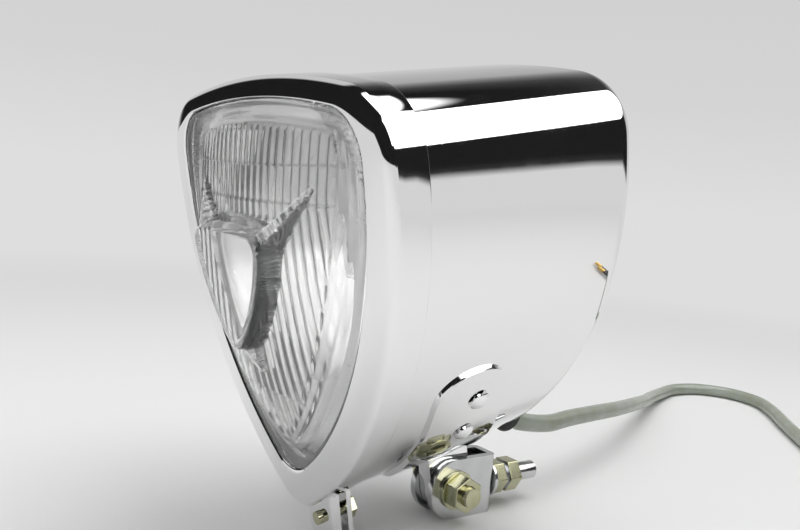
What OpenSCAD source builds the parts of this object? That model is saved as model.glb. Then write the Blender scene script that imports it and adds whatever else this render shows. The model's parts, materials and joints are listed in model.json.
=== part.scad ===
// Triangular auxiliary car lamp on a tilting fork bracket with a stud fixing.
// It lies as photographed: fork and stud lie level on the table and the head
// leans forward about the pivot until its front lug meets the table.
// Millimetres, +Z up, +Y to the back. The origin is on the stud's axis, where
// its free end begins, just clear of the outer nut.

/* [Rim outline] */
// Width across the rim
body_w = 149; // [142:1:160]
// Height of the rim
body_h = 154; // [148:1:164]
// Height of the crown above the lens centre
crown_z = 60; // [57:0.5:63]
// Radius of the two upper corners
corner_r = 24.5; // [22:0.5:28]
// Radius of the lower corner
apex_r = 15; // [13:0.5:18]
// Radius of the side curves
side_r = 142; // [130:1:160]
// Radius of the crown curve
crown_r = 320; // [280:5:400]

/* [Rim] */
// Sheet thickness of the rim
rim_t = 1; // [0.8:0.1:1.2]
// Depth of the rim from its front to the edge of its skirt
skirt_d = 13; // [12:0.5:16]
// Radius of the rolled front edge
lip_r = 9; // [8:0.5:10]
// Width of the front face at the sides
land_side = 12; // [11:0.5:13]
// Width of the front face at the crown
land_top = 7; // [7:0.5:9]
// Width of the front face at the lower corner
land_low = 15; // [14:0.5:16]
// Share of the front face that the rolled edge takes
lip_share = 0.75; // [0.6:0.05:0.85]
// Radius of the window's upper corners
win_corner_r = 17; // [15:0.5:20]
// Radius of the window's lower corner
win_apex_r = 16; // [14:0.5:18]

/* [Housing] */
// Depth from the rim's front to the back of the housing
depth = 105; // [98:1:115]
// Sheet thickness of the housing
wall = 1.2; // [1:0.1:1.6]
// Clearance between the rim's skirt and the housing
rim_gap = 0.3; // [0.3:0.05:0.5]
// Overlap of the skirt and the housing
overlap = 3.5; // [3:0.5:4]
// Radius of the housing's rear edge
rear_r = 10; // [8:0.5:11]

/* [Lens] */
// Thickness of the lens flange
flange_t = 3; // [2.5:0.25:3.5]
// Height of the gasket space behind the rim's face
gasket_t = 2; // [1.8:0.1:2.4]
// Seat of the lens flange beyond the window
seat_w = 2.2; // [1.8:0.1:2.6]
// Width of the smooth margin at the sides of the fluted panel
margin_side = 14.5; // [13:0.5:17]
// Width of the smooth margin above the fluted panel
margin_top = 8; // [7:0.5:10]
// Width of the smooth margin below the fluted panel
margin_low = 13; // [11:0.5:15]
// Radius of the panel's upper corners
panel_corner_r = 7; // [6:0.5:9]
// Radius of the panel's lower corner
panel_apex_r = 8; // [7:0.5:10]
// Distance by which the fluted dome stands in front of the rim
dome_rise = 10; // [9:0.5:12]
// Radius of the dome up and down
dome_r = 220; // [200:5:260]
// Radius of the dome from side to side
dome_side_r = 200; // [180:5:240]
// Height of the dome's top, from the lens centre
dome_z = -8; // [-12:1:-4]
// Thickness of the glass in the dome
glass_t = 6; // [5:0.25:6.5]
// Number of upright flutes
flutes = 24; // [20:1:28]
// Radius of a flute
flute_r = 2.4; // [2.3:0.05:2.8]
// Step between the rows of flutes
row_step = 0.7; // [0.4:0.1:1]
// Height of the top row of flutes
top_row_h = 13; // [11:0.5:15]
// Height of the row below it
next_row_h = 11.5; // [10:0.5:13]
// Height of the lowest row
low_row_h = 19; // [16:0.5:22]
// Number of steps around the panel
terraces = 4; // [3:1:5]
// Height of one step
terrace_h = 0.9; // [0.7:0.1:1]
// Height of the outermost step above the flange
first_step = 0.8; // [0.5:0.1:1]

/* [Lens boss] */
// Width of the boss
boss_w = 48; // [44:1:52]
// Height of the boss
boss_h = 42.5; // [40:0.5:45]
// Top of the boss above the lens centre
boss_top = 12.5; // [11:0.5:14]
// Distance by which the boss stands in front of the rim
boss_rise = 18; // [16:0.5:20]
// Rounding of the boss's front edge
boss_edge_r = 2; // [1.5:0.25:2.5]
// Glass thickness in the boss
boss_wall = 5; // [4:0.25:5.5]
// Bearing of the upper ribs above the level
rib_a = 44; // [40:1:48]
// Length of the ribs from the boss's upper corners
rib_len = 25; // [22:0.5:27]
// Width of a rib at the boss
rib_w = 8; // [6:0.5:9]
// Width of a rib at its far end
rib_tip_w = 3; // [2.5:0.5:4]
// Length of the lower rib
low_rib_len = 12; // [10:0.5:14]

/* [Reflector and bulb] */
// Sheet thickness of the reflector
mirror_t = 0.8; // [0.6:0.1:1]
// Radius of the reflector's bowl
bowl_r = 44; // [42:0.5:46]
// Focal length of the bowl
focal = 12; // [11.5:0.25:13]
// Radius of the opening in the reflector's neck
neck_r = 13; // [12.8:0.1:14]
// Length of the reflector's neck
neck_len = 8; // [7:0.5:9]
// Radius of the bulb's glass globe
globe_r = 12.5; // [11:0.5:12.5]
// Radius of the bulb's metal base
base_r = 7.5; // [7:0.25:8]
// Thickness of the bulb's glass
globe_t = 0.8; // [0.6:0.1:1]
// Thickness of the spade blades
blade_t = 0.8; // [0.6:0.1:1]
// Width of the spade blades
blade_w = 4.8; // [4.8:0.1:6.3]
// Height of the spring clips above and below the lens centre
clip_up = 28; // [24:1:34]

/* [Bracket] */
// Thickness of the fork's sheet
fork_t = 3; // [2.5:0.25:3.5]
// Gap between the fork's legs
fork_gap = 8; // [7:0.25:9]
// Radius of the fork's legs around the pivot
leg_r = 12.5; // [12:0.25:13]
// Distance from the pivot to the fork's web
web_dist = 18.5; // [18:0.5:22]
// Side clearance between the saddle's tongue and a leg
side_gap = 0.3; // [0.25:0.05:0.5]
// Radius of the tongue around the pivot
tongue_r = 10; // [9:0.25:11]
// Thickness of the saddle's sheet
saddle_t = 2; // [1.75:0.25:3]
// Radius of the saddle's ears
ear_r = 15; // [13:0.5:17]
// Distance of the ears' centres in front of the pivot
ear_front = 25; // [22:0.5:28]
// Pivot's distance behind the rim's front
pivot_back = 68; // [64:0.5:72]
// Pivot's distance below the lowest point of the rim
pivot_drop = 16; // [16:0.25:18]
// Height of the ears' centres above the pivot
ear_up = 60; // [56:0.5:63]
// Reach of the saddle's strap in front of the pivot
strap_front = 28; // [25:0.5:32]
// Reach of the saddle's strap behind the pivot
strap_back = 18; // [14:0.5:20]

/* [Fasteners] */
// Diameter of the pivot bolt and the stud
bolt_d = 8; // [8]
// Width across flats of their nuts
nut_af = 13; // [13]
// Height of their nuts
nut_h = 6.5; // [6:0.1:6.8]
// Height of the pivot bolt's head
head_h = 5.3; // [5:0.1:5.6]
// Diameter of their washers
washer_d = 16; // [15:0.5:17]
// Thickness of the flat washers
washer_t = 1.6; // [1.2:0.1:2]
// Thickness of the spring washer
spring_t = 2; // [1.8:0.1:2.2]
// Length of the stud's free end beyond the outer nut
free_len = 11.5; // [10:0.5:20]
// Clearance on the diameter of a bolt in its hole
bolt_clear = 0.16; // [0.1:0.02:0.2]
// Diameter of the rim screw
screw_d = 5; // [5]
// Width across flats of the rim screw's head
screw_af = 8; // [8]
// Height of the rim screw's head
screw_head_h = 3.5; // [3:0.1:4]
// Diameter of the ear rivets' shanks
rivet_d = 4; // [3.5:0.25:4.5]

/* [Front lugs] */
// Width of the lugs
lug_w = 16; // [14:0.5:18]
// Distance by which the lugs hang below the rim
lug_drop = 16.5; // [15:0.5:17]
// Rounding of the lugs' lower corners
lug_r = 3; // [2:0.5:4]
// Thickness of the lug on the rim
rim_lug_t = 4; // [3:0.25:4]
// Thickness of the lug on the housing
shell_lug_t = 2; // [1.5:0.25:2.5]

/* [Cable] */
// Slope of the grommet's axis, downwards from the lens axis
exit_a = 38; // [34:1:45]
// Diameter of the cable's sleeve
cable_d = 8; // [8]
// Diameter of the two cores
core_d = 3; // [2.5:0.1:3]
// Bare length of the cores beyond the sleeve
core_len = 14; // [10:1:20]
// Extra length of the second core
core_stagger = 16; // [14:1:20]
// Radius of the bullet connectors
bullet_r = 1.95; // [1.8:0.05:2.1]

/* [Hidden] */
$fa = 3;
$fs = 0.5;
far = 40;

// Sizes of the fluted panel
panel_w = body_w - 2 * (land_side + margin_side);
panel_top = crown_z - land_top - margin_top;
panel_low = crown_z - body_h + land_low + margin_low;
panel_h = panel_top - panel_low;

// Outline of a rounded triangle, from its width, top, height and four radii:
// corner x, corner z, corner radius, apex z, apex radius, side radius, crown radius, crown centre z
function outline(w, top, h, rc, ra, rs, rk) = [
    w / 2 - rc,
    top - rk + sqrt(pow(rk - rc, 2) - pow(w / 2 - rc, 2)),
    rc, top - h + ra, ra, rs, rk, top - rk];
function corner(o) = [o[0], o[1]];
function apex(o) = [0, o[3]];
function crown_c(o) = [0, o[7]];
function side_c(o) =
    let (t = corner(o), b = apex(o), p = o[5] - o[2], q = o[5] - o[4])
    let (d = norm(b - t), u = (b - t) / d)
    let (along = (p * p - q * q + d * d) / (2 * d), h = sqrt(p * p - along * along))
    t + along * u + h * [u[1], -u[0]];
function bearing(v) = atan2(v[1], v[0]);
function crown_a(o) = bearing(corner(o) - crown_c(o));
function side_a(o) = bearing(corner(o) - side_c(o));
function apex_a(o) = bearing(apex(o) - side_c(o));
function spoke(c, r, a) = c + r * [cos(a), sin(a)];
function mix(a, b, t) = a + (b - a) * t;
function flip(p) = [-p[0], p[1]];

// Points of one arc without its last, and of the whole outline drawn in by inset
function arc_points(c, r, a0, a1, n) = [for (i = [0 : n - 1]) spoke(c, r, mix(a0, a1, i / n))];
function half_points(o, inset) = concat(
    arc_points(crown_c(o), o[6] - inset, 90, crown_a(o), 8),
    arc_points(corner(o), o[2] - inset, crown_a(o), side_a(o), 10),
    arc_points(side_c(o), o[5] - inset, side_a(o), apex_a(o), 16),
    arc_points(apex(o), o[4] - inset, apex_a(o), -90, 7));
function outline_points(o, inset) =
    let (h = half_points(o, inset), n = len(h))
    concat(h, [spoke(apex(o), o[4] - inset, -90)], [for (i = [n - 1 : -1 : 1]) flip(h[i])]);
function ring(o, inset, y) = [for (p = outline_points(o, inset)) [p[0], y, p[1]]];

rim_o = outline(body_w, crown_z, body_h, corner_r, apex_r, side_r, crown_r);
win_o = outline(body_w - 2 * land_side, crown_z - land_top, body_h - land_top - land_low,
    win_corner_r, win_apex_r, side_r - land_side, crown_r - land_top);
panel_side_r = 118;
panel_crown_r = 300;
panel_o = outline(panel_w, panel_top, panel_h, panel_corner_r, panel_apex_r, panel_side_r, panel_crown_r);
boss_side_r = 60;
boss_crown_r = 150;
boss_corner_r = 6;
boss_apex_r = 7;
hollow_in = 1.5;
boss_o = outline(boss_w, boss_top, boss_h, boss_corner_r, boss_apex_r, boss_side_r, boss_crown_r);

// Places along the depth of the head
shell_in = rim_t + rim_gap;
shell_front = skirt_d - overlap;
lens_front = rim_t + gasket_t;
lens_back = lens_front + flange_t;
mirror_back = lens_back + mirror_t;
bowl_depth = bowl_r * bowl_r / (4 * focal);
bowl_bottom = lens_back + bowl_depth;
focus_y = bowl_bottom - focal;
neck_y = bowl_bottom - neck_r * neck_r / (4 * focal);
neck_end = neck_y + neck_len;

// Bulb, holder and contacts, from the focus backwards
base_y = focus_y + globe_r - 1;
base_len = 16;
base_end = base_y + base_len;
button_h = 1.2;
button_r = 2.2;
pad_y = base_end + button_h;
pad_h = 1;
pad_r = 3;
disc_y = pad_y + pad_h;
disc_h = 2.5;
disc_end = disc_y + disc_h;
holder_end = disc_end + 1.3;
holder_t = 1.6;
holder_fit = 0.05;
socket_r = base_r + 0.1;
blade_x = 2.2;
blade_end = disc_end + 8.5;
spade_gap = 0.3;
spade_wall = 0.6;
spade_y = holder_end + 0.7;
spade_end = blade_end + 6;

// Front lugs and their screw
rim_low = crown_z - body_h;
lug_low = rim_low - lug_drop;
rim_lug_y = skirt_d - 0.5 - rim_lug_t;
shell_lug_y = skirt_d + 2.5;
screw_z = lug_low + lug_w / 2 + 0.5;
screw_washer_t = 1;
screw_washer_r = 5;

// Pivot and the forward lean that brings the front lug down to the table
pivot_z = rim_low - pivot_drop;
lug_y = rim_lug_y - pivot_back;
lug_z = lug_low - pivot_z;
lean = 180 + asin(leg_r / norm([lug_y, lug_z])) - (atan2(-lug_z, -lug_y) + 180);

// Bracket, in the frame of the stud
runout_w = 0.5;
runout_deep = 0.3;
stack_t = 2 * nut_h + washer_t + spring_t;
seat_y = -runout_w - stack_t;
web_y = seat_y - fork_t;
pivot_y = web_y - web_dist;
fork_w = fork_gap + 2 * fork_t;
stud_head_t = 3;
stud_head_h = 13;
bolt_over = 3;
hole_d = bolt_d + bolt_clear;
table_z = -leg_r;

// Saddle and rivets
ear_z = pivot_z + ear_up;
ear_y = pivot_back - ear_front;
tongue_t = fork_gap - 2 * side_gap;
rivet_head_r = rivet_d;
rivet_head_h = 0.45 * rivet_d;
rivet_spots = [[5, -3], [9, -20]];

// Grommet in the middle of the lower rear edge, square to its round
exit_y = depth - rear_r;
exit_z = rim_o[3] - (apex_r - shell_in - rear_r);
exit_out = rear_r + 2.5;
exit_dir = [0, cos(exit_a), -sin(exit_a)];
grommet_r = 7.5;
grommet_hole_r = 5;
grommet_in_r = 6.5;

// Leads inside the housing: diameter, straight ends, pull towards the grommet, and room at the back
lead_d = 2.6;
lead_end = 3;
lead_pull = 35;
lead_room = 2;
lead_steps = 12;

// Where a point of the head lies once the head leans
function leaned(p) =
    let (y = p[1] - pivot_back, z = p[2] - pivot_z)
    [p[0], pivot_y + y * cos(lean) - z * sin(lean), y * sin(lean) + z * cos(lean)];
function turned(v) = [v[0], v[1] * cos(lean) - v[2] * sin(lean), v[1] * sin(lean) + v[2] * cos(lean)];

// Route of the cable from the grommet, over the table and out to its end
cable_start = leaned([0, exit_y, exit_z] + exit_out * exit_dir);
cable_dir = turned(exit_dir);
cable_lie = table_z + cable_d / 2 + 0.1;
cable_route = [
    cable_start,
    cable_start + cable_d * cable_dir,
    [-4, 24, 18.8],
    [-10, 45, 17.6],
    [-18, 73, 15.4],
    [-28, 102, 12.2],
    [-40, 130, 8.6],
    [-54, 157, 4.2],
    [-69, 185, -0.4],
    [-85, 213, -4.6],
    [-98, 241, -7.4],
    [-106, 268, cable_lie],
    [-101, 292, cable_lie],
    [-83, 306, cable_lie],
    [-60, 304, cable_lie],
    [-39, 287, cable_lie],
    [-16, 262, cable_lie],
    [8, 237, cable_lie],
    [30, 216, cable_lie],
    [56, 202, cable_lie],
    [86, 196, cable_lie],
    [116, 198, cable_lie],
    [140, 202, cable_lie],
    [150, 204, cable_lie]];
cable_steps = 2;
cable_sides = 12;

// Smooth curve through the route's points, straight at first, out of the grommet
function route_at(i) =
    let (n = len(cable_route))
    i < 0 ? 2 * cable_route[0] - cable_route[1]
        : i > n - 1 ? 2 * cable_route[n - 1] - cable_route[n - 2] : cable_route[i];
function blend4(a, b, c, d, t) =
    0.5 * (2 * b + (c - a) * t + (2 * a - 5 * b + 4 * c - d) * t * t + (3 * b - a - 3 * c + d) * t * t * t);
cable_line = concat(
    [cable_route[0]],
    [for (i = [1 : len(cable_route) - 2]) for (k = [0 : cable_steps - 1])
        blend4(route_at(i - 1), route_at(i), route_at(i + 1), route_at(i + 2), k / cable_steps)],
    [cable_route[len(cable_route) - 1]]);
function unit(v) = v / norm(v);
function line_dir(p, i) =
    i == 0 ? unit(p[1] - p[0])
        : i == len(p) - 1 ? unit(p[i] - p[i - 1]) : unit(p[i + 1] - p[i - 1]);
function ring_at(p, i, r, n, side) =
    let (t = line_dir(p, i), s = unit(cross(t, side)), u = cross(s, t))
    [for (k = [0 : n - 1]) p[i] + r * (cos(360 * k / n) * s + sin(360 * k / n) * u)];
cable_end = cable_route[len(cable_route) - 1];
cable_end_a = bearing(line_dir(cable_line, len(cable_line) - 1));

// Solid through a list of equal rings: capped at both ends, or closed on itself
module loft(rings, closed = false) {
    m = len(rings);
    n = len(rings[0]);
    skin = [for (i = [0 : m - (closed ? 1 : 2)]) for (k = [0 : n - 1])
        let (a = i * n, b = ((i + 1) % m) * n, j = (k + 1) % n)
        each [[a + k, b + k, b + j], [a + k, b + j, a + j]]];
    caps = closed ? [] : [[for (k = [0 : n - 1]) k], [for (k = [n - 1 : -1 : 0]) (m - 1) * n + k]];
    polyhedron(points = [for (r = rings) each r], faces = concat(skin, caps));
}

// A solid plate of an outline, drawn in by inset, from one depth to another
module plate(o, inset, y0, y1) {
    translate([0, y1, 0])
        rotate([90, 0, 0])
            linear_extrude(y1 - y0)
                polygon(outline_points(o, inset));
}

module disc_y(c, r, y0, y1) {
    translate([c[0], y0, c[1]])
        rotate([-90, 0, 0])
            cylinder(r = r, h = y1 - y0);
}

// Quarter of a disc, in the quadrant given by two signs
module quarter_disc(x, y, r, sx, sy) {
    translate([x, y])
        intersection() {
            circle(r = r);
            translate([min(sx * r, 0), min(sy * r, 0)])
                square(r);
        }
}

// Rings over a rounded rear edge, from the wall to the back
function back_rings(o, inset, r, y1, n = 6) =
    [for (i = [0 : n]) let (a = 90 * i / n) ring(o, inset + r * (1 - cos(a)), y1 - r * (1 - sin(a)))];
// Rings over a rounded front edge, from the front to the wall
function front_rings(o, inset, r, y0, n = 4) =
    [for (i = [0 : n]) let (a = 90 * i / n) ring(o, inset + r * (1 - sin(a)), y0 + r * (1 - cos(a)))];
function backwards(v) = [for (i = [len(v) - 1 : -1 : 0]) v[i]];

// Places its children as the head stands, leaning about the pivot
module head() {
    translate([0, pivot_y, 0])
        rotate([lean, 0, 0])
            translate([0, -pivot_back, -pivot_z])
                children();
}

// Rod along the grommet's axis, measured from the middle of the rear edge's round.
// Its quarter points are turned away from the corners of the housing's rings.
module exit_rod(r, d0, d1) {
    quarter_turn = 25;
    translate([0, exit_y, exit_z])
        rotate([-90 - exit_a, 0, 0])
            rotate([0, 0, quarter_turn])
                translate([0, 0, d0])
                    cylinder(r = r, h = d1 - d0);
}

// Turned part about the lens axis, drawn with its radius across and its depth upwards
module turned_y() {
    rotate([-90, 0, 0])
        rotate_extrude()
            children();
}

module hex_nut(af, h, d) {
    difference() {
        cylinder(d = af / cos(30), h = h, $fn = 6);
        translate([0, 0, -1])
            cylinder(d = d, h = h + 2);
    }
}

module washer(d_out, d_in, h) {
    difference() {
        cylinder(d = d_out, h = h);
        translate([0, 0, -1])
            cylinder(d = d_in, h = h + 2);
    }
}

// Places its children on the side curve at a height, with +Z pointing out of the housing
module on_side(y, z, r) {
    c = side_c(rim_o);
    a = asin((z - c[1]) / r);
    for (m = [0, 1])
        mirror([m, 0, 0])
            translate([c[0], y, c[1]])
                rotate([0, 90 - a, 0])
                    translate([0, 0, r])
                        children();
}

module housing() {
    color("silver")
        head()
            difference() {
                loft(concat(
                    backwards(back_rings(rim_o, shell_in + wall, rear_r - wall, depth - wall)),
                    [ring(rim_o, shell_in + wall, shell_front), ring(rim_o, shell_in, shell_front)],
                    back_rings(rim_o, shell_in, rear_r, depth)));
                exit_rod(grommet_hole_r, rear_r - 5, rear_r + 3);
                for (s = rivet_spots)
                    on_side(ear_y + s[0], ear_z + s[1], side_r - shell_in)
                        translate([0, 0, -5])
                            cylinder(d = rivet_d, h = 10);
            }
}

// Lug with a round-cornered foot, cut to the curve that it is welded to
module lug(y, t, inset, hole) {
    difference() {
        translate([0, y + t, 0])
            rotate([90, 0, 0])
                linear_extrude(t)
                    difference() {
                        union() {
                            translate([-lug_w / 2, lug_low + lug_r])
                                square([lug_w, rim_low + 6 - lug_low - lug_r]);
                            translate([-lug_w / 2 + lug_r, lug_low])
                                square([lug_w - 2 * lug_r, lug_r]);
                            quarter_disc(-lug_w / 2 + lug_r, lug_low + lug_r, lug_r, -1, -1);
                            quarter_disc(lug_w / 2 - lug_r, lug_low + lug_r, lug_r, 1, -1);
                        }
                        translate([0, screw_z])
                            circle(d = hole);
                    }
        plate(rim_o, inset, y - 1, y + t + 1);
    }
}

module housing_lug() {
    color("silver")
        head()
            lug(shell_lug_y, shell_lug_t, shell_in, screw_d + 0.6);
}

module rim_lug() {
    color("silver")
        head()
            lug(rim_lug_y, rim_lug_t, 0, screw_d + bolt_clear);
}

module rim_screw() {
    color("goldenrod")
        head()
            translate([0, rim_lug_y - 2, screw_z])
                rotate([-90, 0, 0]) {
                    cylinder(d = screw_d, h = shell_lug_y + shell_lug_t + screw_washer_t - rim_lug_y + 2);
                    translate([0, 0, shell_lug_y + shell_lug_t + screw_washer_t - rim_lug_y + 2])
                        cylinder(d = screw_af / cos(30), h = screw_head_h, $fn = 6);
                }
}

module screw_washer() {
    color("goldenrod")
        head()
            translate([0, shell_lug_y + shell_lug_t, screw_z])
                rotate([-90, 0, 0])
                    washer(2 * screw_washer_r, screw_d + 0.3, screw_washer_t);
}

// Side view of the saddle's strap: a round ear, with straight sides down to the pivot's height
function strap_profile(n) =
    let (c = [ear_y, ear_z], front = [pivot_back - strap_front, pivot_z],
        back = [pivot_back + strap_back, pivot_z])
    let (a0 = bearing(back - c) + acos(ear_r / norm(back - c)),
        a1 = bearing(front - c) - acos(ear_r / norm(front - c)) + 360)
    concat([for (i = [0 : n]) spoke(c, ear_r, mix(a0, a1, i / n))], [front, back]);

// Strap round the lower corner with two ears and a tongue for the pivot
module saddle() {
    y0 = ear_y - ear_r - 1;
    y1 = pivot_back + strap_back + 1;
    color("silver")
        head()
            difference() {
                union() {
                    intersection() {
                        difference() {
                            plate(rim_o, shell_in - saddle_t, y0, y1);
                            plate(rim_o, shell_in, y0 - 1, y1 + 1);
                        }
                        translate([-body_w / 2, 0, 0])
                            rotate([90, 0, 90])
                                linear_extrude(body_w)
                                    polygon(strap_profile(18));
                    }
                    difference() {
                        union() {
                            translate([-tongue_t / 2, pivot_back - tongue_r, pivot_z])
                                cube([tongue_t, 2 * tongue_r, pivot_drop + 4]);
                            intersection() {
                                translate([-tongue_t / 2, pivot_back, pivot_z])
                                    rotate([0, 90, 0])
                                        cylinder(r = tongue_r, h = tongue_t);
                                translate([-tongue_t / 2, pivot_back - tongue_r, pivot_z - tongue_r])
                                    cube([tongue_t, 2 * tongue_r, tongue_r]);
                            }
                        }
                        plate(rim_o, shell_in, y0 - 1, y1 + 1);
                    }
                }
                translate([-fork_w, pivot_back, pivot_z])
                    rotate([0, 90, 0])
                        cylinder(d = hole_d, h = 2 * fork_w);
                for (s = rivet_spots)
                    on_side(ear_y + s[0], ear_z + s[1], side_r - shell_in)
                        translate([0, 0, -5])
                            cylinder(d = rivet_d, h = 10);
            }
}

module ear_rivets() {
    cap_r = (rivet_head_r * rivet_head_r + rivet_head_h * rivet_head_h) / (2 * rivet_head_h);
    color("silver")
        head()
            for (s = rivet_spots)
                on_side(ear_y + s[0], ear_z + s[1], side_r - shell_in) {
                    translate([0, 0, -wall - 1.2])
                        cylinder(d = rivet_d, h = wall + 1.2 + saddle_t);
                    translate([0, 0, -wall - 1.2])
                        cylinder(r = rivet_head_r * 0.85, h = 1.1);
                    translate([0, 0, saddle_t])
                        rotate_extrude()
                            intersection() {
                                translate([0, rivet_head_h - cap_r])
                                    circle(r = cap_r);
                                square([rivet_head_r, rivet_head_h + 1]);
                            }
                }
}

module grommet() {
    color("dimgray")
        head()
            difference() {
                union() {
                    difference() {
                        exit_rod(grommet_r, rear_r - 5, exit_out);
                        loft(concat([ring(rim_o, shell_in, depth / 2)],
                            back_rings(rim_o, shell_in, rear_r, depth)));
                    }
                    exit_rod(grommet_hole_r, rear_r - wall - 1.5, exit_out);
                    intersection() {
                        exit_rod(grommet_in_r, rear_r - wall - 1.5, rear_r);
                        loft(concat([ring(rim_o, shell_in + wall, depth / 2)],
                            back_rings(rim_o, shell_in + wall, rear_r - wall, depth - wall)));
                    }
                }
                exit_rod(cable_d / 2, 0, exit_out + 1);
            }
}

module cable_inlet() {
    color("darkslategray")
        head()
            exit_rod(cable_d / 2, 0, exit_out);
}

// Round tube along a line of points, with one direction that the line never takes
module tube(line, r, n, side) {
    loft([for (i = [0 : len(line) - 1]) ring_at(line, i, r, n, side)]);
}

// Line of a lead: straight out of its socket, over and down in one bend, and straight into the grommet
function lead_line(x) =
    let (a = [x, spade_end + lead_end, 0], d = [x, exit_y, exit_z] - lead_end * exit_dir)
    let (b = [x, depth - lead_room, 0], c = d - lead_pull * exit_dir)
    concat([[x, spade_end, 0]],
        [for (i = [0 : lead_steps]) let (t = i / lead_steps, u = 1 - t)
            u * u * u * a + 3 * u * u * t * b + 3 * u * t * t * c + t * t * t * d],
        [[x, exit_y, exit_z]]);

module inner_leads() {
    color("black")
        head()
            for (s = [-1, 1])
                tube(lead_line(s * blade_x), lead_d / 2, 8, [1, 0, 0]);
}

module spade_sockets() {
    half_x = blade_t / 2 + spade_gap + spade_wall;
    half_z = blade_w / 2 + spade_gap + spade_wall;
    color("gold")
        head()
            for (s = [-1, 1])
                translate([s * blade_x, 0, 0])
                    difference() {
                        translate([-half_x, spade_y, -half_z])
                            cube([2 * half_x, spade_end - spade_y, 2 * half_z]);
                        translate([-half_x + spade_wall, spade_y - 1, -half_z + spade_wall])
                            cube([2 * (half_x - spade_wall), blade_end + 1.5 - spade_y,
                                2 * (half_z - spade_wall)]);
                    }
}

// Free length of the cable, swept along its route
module cable() {
    color("darkslategray")
        tube(cable_line, cable_d / 2, cable_sides, [0, 0, 1]);
}

// Places its children at the cable's far end, with +X running on along the cable
module at_cable_end() {
    translate(cable_end)
        rotate([0, 0, cable_end_a])
            children();
}

// The two cores leave the sleeve at unequal lengths
module cable_cores() {
    color("black")
        at_cable_end()
            for (s = [0, 1])
                translate([0, (2 * s - 1) * blade_x, 0])
                    rotate([0, 90, 0])
                        cylinder(d = core_d, h = core_len + s * core_stagger);
}

// Crimped barrel with a round-nosed bullet on each core
module bullet_ends() {
    barrel_r = bullet_r + 0.1;
    barrel_len = 7;
    neck_len = 1;
    pin_len = 6;
    color("gold")
        at_cable_end()
            for (s = [0, 1])
                translate([core_len + s * core_stagger, (2 * s - 1) * blade_x, 0])
                    rotate([0, 90, 0])
                        rotate_extrude() {
                            square([barrel_r, barrel_len]);
                            translate([0, barrel_len])
                                square([bullet_r * 0.75, neck_len]);
                            translate([0, barrel_len + neck_len])
                                square([bullet_r, pin_len]);
                            quarter_disc(0, barrel_len + neck_len + pin_len, bullet_r, 1, 1);
                        }
}

// Ring of the rolled lip at a bearing of its curve: 0 at the skirt, 90 at the flat face
function lip_ring(a, t) = ring(
    mix(rim_o, win_o, lip_share * (1 - cos(a))), t * cos(a), lip_r * (1 - sin(a)) + t * sin(a));

module rim() {
    steps = 7;
    angles = [for (i = [0 : steps]) 90 * i / steps];
    color("silver")
        head()
            loft(concat(
                [ring(win_o, 0, 0)],
                [for (i = [steps : -1 : 0]) lip_ring(angles[i], 0)],
                [ring(rim_o, 0, skirt_d), ring(rim_o, rim_t, skirt_d)],
                [for (a = angles) lip_ring(a, rim_t)],
                [ring(win_o, 0, rim_t)]), true);
}

module lens_gasket() {
    color("dimgray")
        head()
            difference() {
                plate(win_o, -seat_w + 0.3, rim_t, lens_front);
                plate(win_o, -0.3, rim_t - 1, lens_front + 1);
            }
}

// Places a section of the dome, turned between two heights: radius across, width upwards
module dome_turn(z0, z1) {
    a0 = asin((z0 - dome_z) / dome_r);
    a1 = asin((z1 - dome_z) / dome_r);
    translate([0, dome_r - dome_rise, dome_z])
        rotate([0, 90, 0])
            rotate([0, 0, -90 - a1])
                rotate_extrude(angle = a1 - a0)
                    children();
}
function dome_at(x) = dome_r - x * x / (2 * dome_side_r);

// One band of upright flutes between two heights, raised by lift
module flute_band(z0, z1, lift) {
    half = panel_w / 2 + 0.5;
    pitch = 2 * half / flutes;
    valley = 0.8 * flute_r;
    backing = 2 * glass_t - 2 + lift;
    dome_turn(z0, z1) {
        for (i = [0 : flutes - 1])
            let (x = (i + 0.5) * pitch - half)
            translate([dome_at(x) + lift - flute_r, x])
                circle(r = flute_r);
        polygon(concat(
            [for (i = [0 : flutes])
                let (x = i * pitch - half)
                [dome_at(x) + lift - valley, x]],
            [[dome_at(half) - backing, half], [dome_at(half) - backing, -half]]));
    }
}

// Smooth hollow behind the fluted dome
module dome_hollow() {
    steps = 12;
    intersection() {
        plate(panel_o, hollow_in, -far, lens_back + 1);
        dome_turn(panel_top - panel_h - 3, panel_top + 3)
            polygon(concat(
                [for (i = [0 : steps])
                    let (x = (i / steps - 0.5) * panel_w)
                    [dome_at(x) - glass_t, x]],
                [[dome_r - far, panel_w / 2], [dome_r - far, -panel_w / 2]]));
    }
}

// Tapering rib on the lens: its foot point, bearing, length, widths and three depths
module rib(p, a, length, w0, w1, y0, y1, yb) {
    translate([p[0], 0, p[1]])
        rotate([0, -a, 0])
            intersection() {
                translate([0, 5, 0])
                    rotate([90, 0, 0])
                        linear_extrude(far)
                            polygon([[-4, -w0 / 2], [length, -w1 / 2], [length, w1 / 2], [-4, w0 / 2]]);
                translate([0, 0, -w0])
                    linear_extrude(2 * w0)
                        polygon([[-4, y0], [0, y0], [length, y1], [length, y1 + 2.5], [0, yb], [-4, yb]]);
            }
}

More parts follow.
